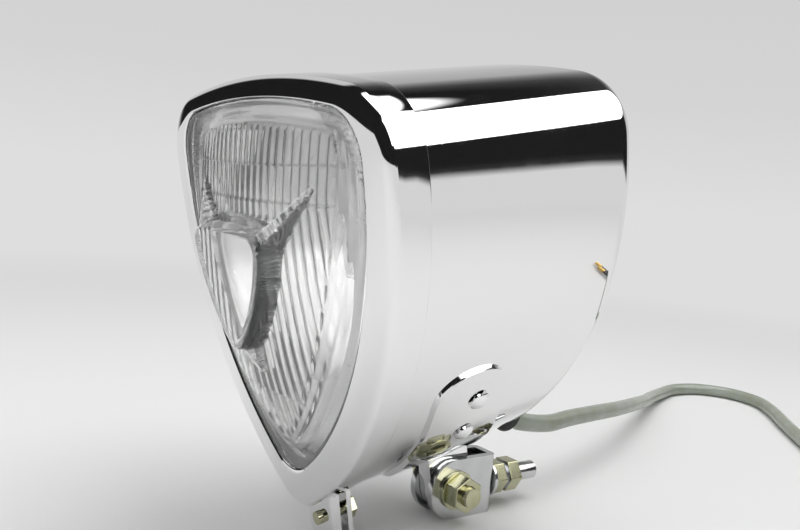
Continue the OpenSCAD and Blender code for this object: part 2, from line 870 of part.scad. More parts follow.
module lens() {
    top_row = panel_top - top_row_h;
    bands = [panel_low - 4, panel_low + low_row_h, top_row - next_row_h, top_row, panel_top + 4];
    lap = 0.2;
    edge_gap = 0.4;
    boss_base = -dome_rise + 4;
    rib_foot = -dome_rise + 5;
    rib_root = 2;
    rib_end = -dome_rise + 6.5;
    low_rib_end = -dome_rise + 1.5;
    low_rib_w = 0.7 * rib_w;
    color("lightcyan", 0.5)
        head()
            difference() {
                union() {
                    difference() {
                        union() {
                            plate(win_o, -seat_w, lens_front, lens_back);
                            for (k = [0 : terraces - 1])
                                plate(mix(win_o, panel_o, k / terraces), k == 0 ? edge_gap : 0,
                                    lens_front - first_step - k * terrace_h, lens_back);
                        }
                        plate(panel_o, 0, -far, lens_back + 1);
                    }
                    intersection() {
                        plate(panel_o, 0, -far, lens_back);
                        union()
                            for (i = [0 : len(bands) - 2])
                                flute_band(bands[i] - lap, bands[i + 1] + lap, (i % 2) * row_step);
                    }
                    loft(concat(
                        front_rings(boss_o, 0, boss_edge_r, -boss_rise),
                        [ring(boss_o, 0, boss_base)]));
                    for (m = [0, 1])
                        mirror([m, 0, 0])
                            rib(corner(boss_o) + [rib_root, rib_root], rib_a, rib_len, rib_w, rib_tip_w,
                                -boss_rise + 0.5, rib_end, rib_foot);
                    rib([0, boss_top - boss_h + rib_root], -90, low_rib_len, low_rib_w, rib_tip_w,
                        -boss_rise + 1.5, low_rib_end, rib_foot);
                }
                dome_hollow();
                plate(boss_o, boss_wall, -boss_rise + boss_wall, 0);
            }
}

// Spring clips that hold the reflector and the lens in the rim
module lens_clips() {
    clip_w = 8;
    clip_t = 0.8;
    reach = 7;
    clip_gap = 0.9;
    color("gray")
        head()
            for (z = [clip_up, -clip_up])
                on_side(mirror_back, z, side_r - rim_t) {
                    translate([-clip_w / 2, 0, -reach])
                        cube([clip_w, clip_t, reach - clip_gap]);
                    translate([-clip_w / 2, 0, -clip_gap - clip_t])
                        cube([clip_w, shell_front - mirror_back - 0.3, clip_t]);
                }
}

module reflector() {
    steps = 14;
    function bowl_at(r) = bowl_bottom - r * r / (4 * focal);
    rs = [for (i = [0 : steps]) mix(bowl_r, neck_r, i / steps)];
    color("whitesmoke")
        head() {
            difference() {
                plate(win_o, -seat_w, lens_back, mirror_back);
                disc_y([0, 0], bowl_r, lens_back - 1, mirror_back + 1);
            }
            turned_y()
                union() {
                    polygon(concat(
                        [for (r = rs) [r, bowl_at(r)]],
                        [for (i = [steps : -1 : 0]) [rs[i], bowl_at(rs[i]) + mirror_t]]));
                    translate([neck_r, neck_y])
                        square([mirror_t, neck_len]);
                }
        }
}

module bulb_holder() {
    sleeve_r = neck_r - holder_fit;
    flange_r = neck_r + 3;
    tube_r = socket_r + holder_t;
    color("silver")
        head()
            turned_y()
                polygon([
                    [socket_r, base_y + 1], [sleeve_r, base_y + 1], [sleeve_r, neck_end],
                    [flange_r, neck_end], [flange_r, neck_end + 1.2], [tube_r, neck_end + 1.2],
                    [tube_r, holder_end], [socket_r, holder_end]]);
}

module bulb_glass() {
    stem_r = base_r - 1;
    color("lightyellow", 0.5)
        head()
            difference() {
                union() {
                    translate([0, focus_y, 0])
                        sphere(r = globe_r);
                    disc_y([0, 0], stem_r, focus_y, base_y);
                }
                translate([0, focus_y, 0])
                    sphere(r = globe_r - globe_t);
                disc_y([0, 0], stem_r - globe_t, focus_y, base_y + 1);
            }
}

module bulb_filament() {
    post_r = 0.3;
    coil_r = 1.1;
    half = 3;
    color("gray")
        head() {
            for (s = [-1, 1])
                disc_y([s * half, 0], post_r, focus_y - 0.5, base_y);
            translate([-half - 1, focus_y, 0])
                rotate([0, 90, 0])
                    cylinder(r = coil_r, h = 2 * (half + 1));
        }
}

module bulb_base() {
    color("silver")
        head()
            disc_y([0, 0], base_r, base_y, base_end);
}

module bulb_contact() {
    color("gray")
        head()
            disc_y([0, 0], button_r, base_end, pad_y);
}

module contact_pad() {
    color("gold")
        head()
            disc_y([0, 0], pad_r, pad_y, disc_y);
}

module contact_disc() {
    color("saddlebrown")
        head()
            disc_y([0, 0], base_r, disc_y, disc_end);
}

module contact_blades() {
    color("gold")
        head()
            for (s = [-1, 1])
                translate([s * blade_x - blade_t / 2, disc_end, -blade_w / 2])
                    cube([blade_t, blade_end - disc_end, blade_w]);
}

// Side view of the fork's legs: round at the pivot, straight to the web
module fork() {
    bend_r = fork_t;
    color("silver")
        difference() {
            intersection() {
                translate([0, 0, -leg_r - 1])
                    linear_extrude(2 * leg_r + 2)
                        union() {
                            for (s = [-1, 1])
                                translate([s > 0 ? fork_gap / 2 : -fork_w / 2, pivot_y - leg_r])
                                    square([fork_t, seat_y - fork_t - pivot_y + leg_r]);
                            translate([-fork_gap / 2, seat_y - fork_t])
                                square([fork_gap, fork_t]);
                            quarter_disc(fork_gap / 2, seat_y - fork_t, bend_r, 1, 1);
                            quarter_disc(-fork_gap / 2, seat_y - fork_t, bend_r, -1, 1);
                        }
                union() {
                    intersection() {
                        translate([-fork_w, pivot_y, 0])
                            rotate([0, 90, 0])
                                cylinder(r = leg_r, h = 2 * fork_w);
                        translate([-fork_w, pivot_y - leg_r, -leg_r])
                            cube([2 * fork_w, leg_r, 2 * leg_r]);
                    }
                    translate([-fork_w, pivot_y, -leg_r])
                        cube([2 * fork_w, seat_y - pivot_y, 2 * leg_r]);
                }
            }
            translate([-fork_w, pivot_y, 0])
                rotate([0, 90, 0])
                    cylinder(d = hole_d, h = 2 * fork_w);
            translate([0, seat_y + 1, 0])
                rotate([90, 0, 0])
                    cylinder(d = hole_d, h = fork_t + 2);
        }
}

module pivot_bolt() {
    grip = fork_w + 2 * washer_t;
    color("goldenrod")
        translate([-grip / 2, pivot_y, 0])
            rotate([0, 90, 0]) {
                translate([0, 0, -head_h])
                    cylinder(d = nut_af / cos(30), h = head_h, $fn = 6);
                cylinder(d = bolt_d, h = grip + nut_h + bolt_over);
            }
}

module pivot_washers() {
    color("goldenrod")
        for (x = [-fork_w / 2 - washer_t, fork_w / 2])
            translate([x, pivot_y, 0])
                rotate([0, 90, 0])
                    washer(washer_d, bolt_d + 0.4, washer_t);
}

module pivot_nut() {
    color("goldenrod")
        translate([fork_w / 2 + washer_t, pivot_y, 0])
            rotate([0, 90, 0])
                hex_nut(nut_af, nut_h, bolt_d);
}

module mount_stud() {
    head_w = fork_gap - 0.4;
    color("silver")
        union() {
            translate([0, web_y, 0])
                rotate([-90, 0, 0])
                    cylinder(d = bolt_d, h = -runout_w - web_y);
            translate([0, -runout_w - 1, 0])
                rotate([-90, 0, 0])
                    cylinder(d = bolt_d - 2 * runout_deep, h = runout_w + 2);
            rotate([-90, 0, 0])
                cylinder(d = bolt_d, h = free_len);
            translate([-head_w / 2, web_y - stud_head_t, -stud_head_h / 2])
                cube([head_w, stud_head_t, stud_head_h]);
        }
}

module stud_washer() {
    color("silver")
        translate([0, seat_y, 0])
            rotate([-90, 0, 0])
                washer(washer_d, bolt_d + 0.4, washer_t);
}

module stud_spring_washer() {
    color("gray")
        translate([0, seat_y + washer_t + nut_h, 0])
            rotate([-90, 0, 0])
                washer(washer_d - 3, bolt_d + 0.4, spring_t);
}

module stud_nuts() {
    color("goldenrod")
        for (y = [seat_y + washer_t, -runout_w - nut_h])
            translate([0, y, 0])
                rotate([-90, 0, 0])
                    hex_nut(nut_af, nut_h, bolt_d);
}

housing();
housing_lug();
saddle();
ear_rivets();
grommet();
rim_screw();
screw_washer();
spade_sockets();
inner_leads();
cable_inlet();
cable();
cable_cores();
bullet_ends();
rim();
rim_lug();
lens_gasket();
lens();
lens_clips();
reflector();
bulb_holder();
bulb_glass();
bulb_filament();
bulb_base();
bulb_contact();
contact_pad();
contact_disc();
contact_blades();
fork();
pivot_bolt();
pivot_nut();
pivot_washers();
mount_stud();
stud_washer();
stud_spring_washer();
stud_nuts();
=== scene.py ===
import json
import math

import bmesh
import bpy
import numpy as np
from mathutils import Matrix, Vector


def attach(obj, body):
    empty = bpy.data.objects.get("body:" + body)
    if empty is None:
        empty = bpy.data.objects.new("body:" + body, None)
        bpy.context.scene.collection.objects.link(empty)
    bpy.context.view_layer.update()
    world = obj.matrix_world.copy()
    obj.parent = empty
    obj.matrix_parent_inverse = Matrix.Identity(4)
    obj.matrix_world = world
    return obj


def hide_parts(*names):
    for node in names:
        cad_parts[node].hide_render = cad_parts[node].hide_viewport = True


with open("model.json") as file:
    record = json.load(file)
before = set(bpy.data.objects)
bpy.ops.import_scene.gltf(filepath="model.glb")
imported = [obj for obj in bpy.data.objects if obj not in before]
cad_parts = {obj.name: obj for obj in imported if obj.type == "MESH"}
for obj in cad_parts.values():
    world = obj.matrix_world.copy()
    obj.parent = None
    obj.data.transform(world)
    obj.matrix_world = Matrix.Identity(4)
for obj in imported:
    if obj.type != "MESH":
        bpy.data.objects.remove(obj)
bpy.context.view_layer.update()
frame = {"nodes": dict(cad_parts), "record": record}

bl_info = {
    "name": "Triangular Car Lamp",
    "version": (1, 0, 0),
    "blender": (4, 5, 0),
    "location": "3D View > Sidebar > Lamp",
    "description": "Dresses the triangular lamp: its plated shells, pressed lens, fixings and cable",
    "category": "Object",
}

MM = 0.001
NODES = frame["nodes"]
# Materials by the record's slot names, which finishes() fills in
MADE = {}


# Colours and sizes

def hex_linear(text):
    """Linear colour, with alpha, of an sRGB hex value such as #C8CCD0."""
    parts = [int(text[i:i + 2], 16) / 255 for i in (1, 3, 5)]
    return tuple(c / 12.92 if c <= 0.04045 else ((c + 0.055) / 1.055) ** 2.4 for c in parts) + (1.0,)


def length(name, text, default_mm):
    """A size that a user may change, given in millimetres and kept in metres."""
    return bpy.props.FloatProperty(name=name, description=text, default=default_mm * MM,
                                   min=0.0, unit="LENGTH", precision=5)


def tint(name, text, value):
    """A colour that a user may change."""
    return bpy.props.FloatVectorProperty(name=name, description=text, size=4, min=0.0, max=1.0,
                                         subtype="COLOR", default=hex_linear(value))


class LampSizes(bpy.types.PropertyGroup):
    """Sizes of the lamp's head and cable: the part's own, but for the rim's face and the lens's glass"""
    rim_width: length("Rim width", "Width across the rim", 149)
    rim_height: length("Rim height", "Height of the rim", 154)
    crown_up: length("Crown height", "Height of the crown above the lens centre", 60)
    corner_r: length("Corner radius", "Radius of the two upper corners", 24.5)
    apex_r: length("Lower corner radius", "Radius of the lower corner", 15)
    side_r: length("Side radius", "Radius of the side curves", 142)
    crown_r: length("Crown radius", "Radius of the crown curve", 320)
    land_side: length("Side land", "Width of the front face at the sides", 12)
    land_top: length("Top land", "Width of the front face at the crown", 7)
    land_low: length("Low land", "Width of the front face at the lower corner", 15)
    window_corner_r: length("Window corner radius", "Radius of the window's upper corners", 17)
    window_apex_r: length("Window lower radius", "Radius of the window's lower corner", 16)
    rim_sheet: length("Rim sheet", "Sheet thickness of the rim", 1)
    crease: length("Crease depth", "Depth of the crease between the rim's face and its skirt", 1.6)
    roll_r: length("Roll radius", "Radius of the roll round the outside of the rim's face", 4.4)
    face_drop: length("Face drop", "Drop of the rim's face from the window's edge to its roll", 0.7)
    skirt: length("Skirt depth", "Depth of the rim from its front to its skirt's edge", 13)
    shell_sheet: length("Housing sheet", "Sheet thickness of the housing", 1.2)
    shell_gap: length("Skirt clearance", "Clearance between the skirt and the housing", 0.3)
    shell_front: length("Housing front", "Depth at which the housing begins", 9.5)
    depth: length("Depth", "Depth from the rim's front to the housing's back", 105)
    rear_r: length("Rear radius", "Radius of the housing's rear edge", 10)
    cable_d: length("Cable diameter", "Diameter of the cable's sleeve", 8)
    seat: length("Lens seat", "Width of the lens flange behind the window's edge", 2.2)
    margin_side: length("Side margin", "Smooth margin at the sides of the fluted panel", 14.5)
    margin_top: length("Top margin", "Smooth margin above the fluted panel", 8)
    margin_low: length("Low margin", "Smooth margin below the fluted panel", 13)
    dome_rise: length("Dome rise", "Distance by which the dome stands in front of the rim", 10)
    dome_z: length("Dome drop", "Depth of the dome's top below the lens centre", 8)
    dome_r: length("Dome radius", "Radius of the dome up and down", 220)
    dome_side_r: length("Dome side radius", "Radius of the dome from side to side", 200)
    glass: length("Glass", "Thickness of the glass in the dome", 5.5)
    flute_depth: length("Flute depth", "Depth of one flute", 0.4)
    row_step: length("Row step", "Step between the rows of flutes", 0.2)
    boss_width: length("Boss width", "Width of the boss", 48)
    boss_height: length("Boss height", "Height of the boss", 42.5)
    boss_top: length("Boss top", "Top of the boss above the lens centre", 12.5)
    boss_rise: length("Boss rise", "Distance by which the boss stands in front of the rim", 18)
    bowl_r: length("Bowl radius", "Radius of the reflector's bowl", 44)
    focal: length("Focal length", "Focal length of the bowl", 12)
    neck_r: length("Neck radius", "Radius of the reflector's neck", 13)


class LampColours(bpy.types.PropertyGroup):
    """Colours of the lamp's materials and of its stage"""
    chrome: tint("Chromium", "Chromium plate", "#F1F1F1")
    glass: tint("Lens glass", "Pressed glass of the lens", "#FFFFFF")
    # Painted shade: the dark tone mixed into the lens glass's colour in its flute valleys, steps and steep
    # flanks
    glass_painted_shade: tint("Lens glass, flanks", "Tone of the glass in its steps and steep flanks", "#343636")
    mirror: tint("Reflector", "Silvered reflector", "#FBFBFB")
    mirror_dull: tint("Reflector, dull", "Duller patches of the reflector", "#F4F4F4")
    yellow_zinc: tint("Yellow zinc", "Yellow passivated zinc on the nuts", "#CFCBAE")
    yellow_zinc_green: tint("Yellow zinc, green cast", "Greener patches of the passivation", "#A3A583")
    bright_zinc: tint("Bright zinc", "Bright zinc plate on the fork and stud", "#D0D1D1")
    spring_steel: tint("Spring steel", "Bare spring steel", "#8E9093")
    nickel: tint("Nickel", "Nickel on the bulb's base", "#C9C4B8")
    solder: tint("Solder", "Dull solder of the bulb's contact", "#A0A1A3")
    brass: tint("Brass", "Bare brass of the contacts", "#D9B566")
    rubber: tint("Rubber", "Moulded black rubber", "#17181A")
    core: tint("Core", "Black sleeving of the leads", "#1B1C1E")
    sleeve: tint("Sleeve", "Hazy grey sleeve of the cable", "#A4AAA6")
    sleeve_olive: tint("Sleeve, olive cast", "Olive cast in the sleeve", "#7E8467")
    fibre: tint("Fibre", "Pressed fibre of the contact disc", "#6B3F22")
    floor: tint("Floor", "Pale paper floor", "#E4E4E4")
    backdrop: tint("Backdrop", "Tone of the soft light from all round", "#D9D9D9")
    sky_low: tint("Sky, low", "Tone at the floor's far end", "#DEDEDE")
    sky_mid: tint("Sky, middle", "Tone behind the lamp", "#D4D4D4")
    sky_high: tint("Sky, high", "Tone above the lamp", "#CCCCCC")
    cloth: tint("Cloth", "Black cloth that the plated parts show", "#0A0A0A")


def sizes():
    return bpy.context.scene.lamp_sizes


def colours():
    return bpy.context.scene.lamp_colours


# The head's frame

# The head leans forward about the pivot; the pivot is given in the head's frame and in the row frame
LEAN = math.radians(11.6454)
PIVOT_IN_HEAD = Vector((0.0, 0.068, -0.110))
PIVOT_IN_ROW = Vector((0.0, -0.0386, 0.0))


def head_matrix():
    """Matrix from the head's frame, with its lens axis level, to the row frame."""
    lean = Matrix.Rotation(LEAN, 4, "X")
    return Matrix.Translation(PIVOT_IN_ROW) @ lean @ Matrix.Translation(-PIVOT_IN_HEAD)


# Outlines and meshes

class Outline:
    """Rounded triangle of arcs that meet in tangents, in the plane across the lens axis."""

    def __init__(self, width, top, height, corner_r, apex_r, side_r, crown_r):
        self.corner_r, self.apex_r, self.side_r, self.crown_r = corner_r, apex_r, side_r, crown_r
        across = width / 2 - corner_r
        self.crown = np.array((0.0, top - crown_r))
        up = top - crown_r + math.sqrt((crown_r - corner_r) ** 2 - across ** 2)
        self.corner = np.array((across, up))
        self.apex = np.array((0.0, top - height + apex_r))
        p, q = side_r - corner_r, side_r - apex_r
        run = self.apex - self.corner
        d = float(np.linalg.norm(run))
        u = run / d
        along = (p * p - q * q + d * d) / (2 * d)
        off = math.sqrt(p * p - along * along)
        self.side = self.corner + along * u + off * np.array((u[1], -u[0]))
        joints = (self.corner - self.crown, self.corner - self.side, self.apex - self.side)
        self.turns = [math.atan2(v[1], v[0]) for v in joints]

    def inset_at(self, x, z):
        """How far points lie inside the outline, as an array; negative outside it."""
        x = np.abs(x)
        a, b, c = self.turns

        def room(centre, r):
            return r - np.hypot(x - centre[0], z - centre[1])

        inside = np.minimum(room(self.crown, self.crown_r), room(self.side, self.side_r))
        t = np.arctan2(z - self.corner[1], x - self.corner[0])
        inside = np.where((t <= a) & (t >= b), room(self.corner, self.corner_r), inside)
        t = np.arctan2(z - self.apex[1], x - self.apex[0])
        return np.where(t <= c, room(self.apex, self.apex_r), inside)

    def points(self, inset=0.0, steps=(20, 28, 44, 20)):
        """Points round the outline drawn in by inset, clockwise from the crown's middle."""
        a, b, c = self.turns
        arcs = ((self.crown, self.crown_r, math.pi / 2, a), (self.corner, self.corner_r, a, b),
                (self.side, self.side_r, b, c), (self.apex, self.apex_r, c, -math.pi / 2))
        half = []
        for (centre, r, a0, a1), n in zip(arcs, steps):
            for i in range(n):
                t = a0 + (a1 - a0) * i / n
                half.append(centre + (r - inset) * np.array((math.cos(t), math.sin(t))))
        low = self.apex + np.array((0.0, -(self.apex_r - inset)))
        return np.array(half + [low] + [p * (-1, 1) for p in half[:0:-1]])


def rim_outline():
    s = sizes()
    return Outline(s.rim_width, s.crown_up, s.rim_height, s.corner_r, s.apex_r, s.side_r, s.crown_r)


def window_outline():
    s = sizes()
    return Outline(s.rim_width - 2 * s.land_side, s.crown_up - s.land_top,
                   s.rim_height - s.land_top - s.land_low, s.window_corner_r, s.window_apex_r,
                   s.side_r - s.land_side, s.crown_r - s.land_top)


def ring(points, y):
    """The outline's points at a depth, as points of the head."""
    return np.array([(p[0], y, p[1]) for p in points])


def loft_faces(count, around, closed):
    """Quads of a loft of equal rings."""
    faces = []
    for i in range(count if closed else count - 1):
        a, b = i * around, ((i + 1) % count) * around
        for k in range(around):
            j = (k + 1) % around
            faces.append((a + k, a + j, b + j, b + k))
    return faces


def link(name, data):
    """A new object of the scene that shows the data."""
    obj = bpy.data.objects.new(name, data)
    bpy.context.scene.collection.objects.link(obj)
    return obj


def new_mesh(name, points, faces, material):
    mesh = bpy.data.meshes.new(name)
    mesh.from_pydata([tuple(p) for p in points], [], faces)
    mesh.materials.append(material)
    return mesh


def mesh_piece(name, points, faces, body, slot, node, sharp_deg):
    """A smooth-shaded piece made in the head's frame, which rides on a body and stands for a CAD node.
    Edges sharper than sharp_deg stay crisp."""
    mesh = new_mesh(name, points, faces, finishes()[slot])
    mesh.validate()
    mesh.transform(head_matrix())
    mesh.shade_smooth()
    mesh.set_sharp_from_angle(angle=math.radians(sharp_deg))
    obj = link(name, mesh)
    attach(obj, body)
    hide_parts(node)
    return obj


# Materials

def add(tree, kind, inputs=None, **settings):
    """Adds one node, with its settings, and with values or links for its inputs."""
    node = tree.nodes.new(kind)
    for key, value in settings.items():
        setattr(node, key, value)
    for key, value in (inputs or {}).items():
        if isinstance(value, bpy.types.NodeSocket):
            tree.links.new(value, node.inputs[key])
        else:
            node.inputs[key].default_value = value
    return node


def ramp_stops(node, stops):
    """Sets a colour ramp's stops from (position, grey or colour) pairs."""
    ramp = node.color_ramp
    while len(ramp.elements) > 1:
        ramp.elements.remove(ramp.elements[-1])
    for i, (position, value) in enumerate(stops):
        stop = ramp.elements[0] if i == 0 else ramp.elements.new(position)
        stop.position = position
        stop.color = value if hasattr(value, "__len__") else (value, value, value, 1.0)
    return node


def start(name):
    """A new material with its tree emptied but for the output, and object coordinates in metres."""
    material = bpy.data.materials.new(name)
    material.use_nodes = True
    tree = material.node_tree
    tree.nodes.clear()
    output = add(tree, "ShaderNodeOutputMaterial")
    place = add(tree, "ShaderNodeTexCoord").outputs["Object"]
    return material, tree, output, place


def per_metre(size_mm):
    """Texture scale for a pattern whose features are this many millimetres apart."""
    return 1000.0 / size_mm


def seeing_rays(tree):
    """1 for the rays by which camera, metal and glass see a surface, 0 for those that carry its light."""
    rays = add(tree, "ShaderNodeLightPath").outputs
    seen = add(tree, "ShaderNodeMath", {0: rays["Is Camera Ray"], 1: rays["Is Glossy Ray"]},
               operation="MAXIMUM")
    through = add(tree, "ShaderNodeMath", {0: seen.outputs["Value"], 1: rays["Is Transmission Ray"]},
                  operation="MAXIMUM")
    return through.outputs["Value"]


def chromium_plate():
    """Steel sheet, pressed, polished and chromium plated: a clear mirror that runs in slow waves
    where the press drew the sheet, with faint wiping marks and a few specks of dust."""
    material, tree, output, place = start("chromium_plate_on_pressed_steel")
    waves = add(tree, "ShaderNodeTexNoise", {"Vector": place, "Scale": per_metre(38), "Detail": 1.0})
    smear = add(tree, "ShaderNodeTexNoise", {"Vector": place, "Scale": per_metre(16), "Detail": 4.0,
                                             "Roughness": 0.6})
    haze = add(tree, "ShaderNodeMapRange", {"Value": smear.outputs["Fac"], "From Min": 0.45,
                                            "From Max": 0.75, "To Min": 0.025, "To Max": 0.075})
    cells = add(tree, "ShaderNodeTexVoronoi", {"Vector": place, "Scale": per_metre(9)})
    specks = ramp_stops(add(tree, "ShaderNodeValToRGB", {"Fac": cells.outputs["Distance"]}),
                        ((0.0, 0.35), (0.022, 0.0)))
    rough = add(tree, "ShaderNodeMath", {0: haze.outputs["Result"], 1: specks.outputs["Color"]},
                operation="ADD")
    bump = add(tree, "ShaderNodeBump", {"Height": waves.outputs["Fac"], "Strength": 0.35,
                                        "Distance": 0.05 * MM})
    shader = add(tree, "ShaderNodeBsdfPrincipled", {
        "Base Color": colours().chrome, "Metallic": 1.0, "Roughness": rough.outputs["Value"],
        "Normal": bump.outputs["Normal"]})
    tree.links.new(shader.outputs["BSDF"], output.inputs["Surface"])
    return material


def pressed_glass():
    """Soda-lime glass pressed in a mould: clear, a little wavy, with a soft skin from the mould,
    and with painted shade mixed into its colour where steps and flanks turn the light away."""
    material, tree, output, place = start("pressed_soda_lime_glass")
    ripple = add(tree, "ShaderNodeTexNoise", {"Vector": place, "Scale": per_metre(14), "Detail": 1.0})
    skin = add(tree, "ShaderNodeMapRange", {"Value": ripple.outputs["Fac"], "To Max": 0.03})
    # Painted shade, stored on the lens's points, that darkens the glass's colour
    pressed = add(tree, "ShaderNodeAttribute", attribute_name="painted_glass_shade")
    glass_with_painted_shade = add(tree, "ShaderNodeMix", {0: pressed.outputs["Fac"], 6: colours().glass,
                                       7: colours().glass_painted_shade}, data_type="RGBA")
    bump = add(tree, "ShaderNodeBump", {"Height": ripple.outputs["Fac"], "Strength": 0.2,
                                        "Distance": 0.05 * MM})
    shader = add(tree, "ShaderNodeBsdfPrincipled", {
        "Base Color": glass_with_painted_shade.outputs[2], "Roughness": skin.outputs["Result"], "IOR": 1.51,
        "Transmission Weight": 0.92, "Normal": bump.outputs["Normal"]})
    tree.links.new(shader.outputs["BSDF"], output.inputs["Surface"])
    return material


def plain_metal(name, colour, rough_low, rough_high, grain_mm, bump_mm, second=None):
    """A metal whose roughness and colour change with a grain of a real size. With no second colour,
    its patches are a fifth darker."""
    material, tree, output, place = start(name)
    grain = add(tree, "ShaderNodeTexNoise", {"Vector": place, "Scale": per_metre(grain_mm), "Detail": 5.0,
                                             "Roughness": 0.62})
    patch = add(tree, "ShaderNodeTexNoise", {"Vector": place, "Scale": per_metre(grain_mm * 9),
                                             "Detail": 2.0})
    rough = add(tree, "ShaderNodeMapRange", {"Value": grain.outputs["Fac"], "From Min": 0.3,
                                             "From Max": 0.7, "To Min": rough_low, "To Max": rough_high})
    other = second or tuple(c * 0.8 for c in colour[:3]) + (1.0,)
    mixed = add(tree, "ShaderNodeMix", {0: patch.outputs["Fac"], 6: colour, 7: other}, data_type="RGBA")
    bump = add(tree, "ShaderNodeBump", {"Height": grain.outputs["Fac"], "Strength": 0.5,
                                        "Distance": bump_mm * MM})
    shader = add(tree, "ShaderNodeBsdfPrincipled", {
        "Base Color": mixed.outputs[2], "Metallic": 1.0, "Roughness": rough.outputs["Result"],
        "Normal": bump.outputs["Normal"]})
    tree.links.new(shader.outputs["BSDF"], output.inputs["Surface"])
    return material


def moulded(name, colour, rough_low, rough_high, grain_mm, bump_mm, second=None):
    """A moulded rubber or plastic with a fine skin texture. With no second colour, its skin is half
    as bright again in places."""
    material, tree, output, place = start(name)
    grain = add(tree, "ShaderNodeTexNoise", {"Vector": place, "Scale": per_metre(grain_mm),
                                             "Detail": 3.0})
    rough = add(tree, "ShaderNodeMapRange", {"Value": grain.outputs["Fac"], "To Min": rough_low,
                                             "To Max": rough_high})
    other = second or tuple(min(1.0, c * 1.5 + 0.004) for c in colour[:3]) + (1.0,)
    mixed = add(tree, "ShaderNodeMix", {0: grain.outputs["Fac"], 6: colour, 7: other}, data_type="RGBA")
    bump = add(tree, "ShaderNodeBump", {"Height": grain.outputs["Fac"], "Strength": 0.4,
                                        "Distance": bump_mm * MM})
    shader = add(tree, "ShaderNodeBsdfPrincipled", {
        "Base Color": mixed.outputs[2], "Roughness": rough.outputs["Result"],
        "Normal": bump.outputs["Normal"]})
    tree.links.new(shader.outputs["BSDF"], output.inputs["Surface"])
    return material


def finishes():
    """All materials by the record's slot names, made once. Each row has the name, the colour, the lowest
    and highest roughness, the grain and its depth in millimetres, and any second colour."""
    if MADE:
        return MADE
    c = colours()
    MADE.update({
        "chrome_plate": chromium_plate(),
        "lens_glass": pressed_glass(),
        # Nearly white, and too dull for clear images, so that it lights the lens evenly from behind
        "mirror": plain_metal("silvered_reflector_steel", c.mirror, 0.25, 0.4, 6, 0.01, c.mirror_dull),
        # Pale straw with greener patches and soft gleams on the flats
        "yellow_zinc": plain_metal("yellow_passivated_zinc_on_steel", c.yellow_zinc, 0.1, 0.24, 0.6, 0.02,
                                   c.yellow_zinc_green),
        # Cool grey with a fine bloom, duller than the chromium beside it
        "bright_zinc": plain_metal("bright_zinc_on_pressed_steel", c.bright_zinc, 0.12, 0.26, 0.5, 0.015),
        # Darker grey with the dullness of bare rolled steel
        "spring_steel": plain_metal("rolled_spring_steel", c.spring_steel, 0.25, 0.4, 0.4, 0.01),
        # Warm grey and satin, as a bulb's cap is
        "nickel": plain_metal("nickel_on_brass_sheet", c.nickel, 0.2, 0.35, 0.5, 0.01),
        # Dull lead grey
        "solder": plain_metal("wiped_solder", c.solder, 0.35, 0.55, 0.6, 0.03),
        # Yellow metal with darker patches
        "brass": plain_metal("stamped_brass", c.brass, 0.2, 0.36, 0.5, 0.01),
        # Nearly black, with a soft sheen and no gleam
        "black_rubber": moulded("moulded_black_rubber", c.rubber, 0.5, 0.7, 0.5, 0.03),
        # Black with a long soft gleam
        "black_pvc": moulded("extruded_black_core", c.core, 0.3, 0.45, 0.8, 0.01),
        # Hazy grey that turns olive in long patches, with a clear gleam
        "clear_pvc": moulded("extruded_hazy_sleeve", c.sleeve, 0.18, 0.3, 14, 0.02, c.sleeve_olive),
        # Brown and dry, with a fine fleck
        "fibre": moulded("pressed_fibre_sheet", c.fibre, 0.6, 0.8, 0.3, 0.03)})
    return MADE


# Camera and cable

# The photograph's camera: a short lens close to the lamp, a little above it and slightly rolled
CAMERA_PLACE = Vector((0.2564, -0.2649, 0.1208))
CAMERA_AZIMUTH = math.radians(54.5294)
CAMERA_PITCH = math.radians(12.1357)
CAMERA_ROLL = math.radians(-4.2309)
CAMERA_FOCAL_MM = 37.853
SENSOR_MM = 36.0
CLIP_NEAR, CLIP_FAR = 0.01, 30


def make_camera():
    """Camera at the photograph's place, its directions worked out in the head's frame."""
    az, pitch, roll = CAMERA_AZIMUTH, CAMERA_PITCH, CAMERA_ROLL
    back = Vector((math.sin(az) * math.cos(pitch), -math.cos(az) * math.cos(pitch), math.sin(pitch)))
    right = (-back).cross(Vector((0, 0, 1))).normalized()
    up = right.cross(-back)
    right, up = (right * math.cos(roll) + up * math.sin(roll),
                 -right * math.sin(roll) + up * math.cos(roll))
    turn = Matrix((right, up, back)).transposed()
    data = bpy.data.cameras.new("photograph_camera")
    data.lens = CAMERA_FOCAL_MM
    data.sensor_width = SENSOR_MM
    data.clip_start, data.clip_end = CLIP_NEAR, CLIP_FAR
    camera = link("photograph_camera", data)
    camera.matrix_world = Matrix.Translation(CAMERA_PLACE) @ (Matrix.Rotation(LEAN, 3, "X") @ turn).to_4x4()
    bpy.context.scene.camera = camera


# The cable's route from the grommet to its end, in millimetres, as in the part's source
CABLE_START = (0.0, -6.474, 26.643)
CABLE_DIRECTION = (0.0, 0.89606, -0.44393)
CABLE_STRAIGHT = 8.0
CABLE_LIE = -8.4
CABLE_ROUTE = (
    (-4, 24, 18.8), (-10, 45, 17.6), (-18, 73, 15.4), (-28, 102, 12.2), (-40, 130, 8.6),
    (-54, 157, 4.2), (-69, 185, -0.4), (-85, 213, -4.6), (-98, 241, -7.4), (-106, 268, CABLE_LIE),
    (-101, 292, CABLE_LIE),
    (-83, 306, CABLE_LIE), (-60, 304, CABLE_LIE), (-39, 287, CABLE_LIE), (-16, 262, CABLE_LIE),
    (8, 237, CABLE_LIE), (30, 216, CABLE_LIE), (56, 202, CABLE_LIE), (86, 196, CABLE_LIE),
    (116, 198, CABLE_LIE), (140, 202, CABLE_LIE), (150, 204, CABLE_LIE))


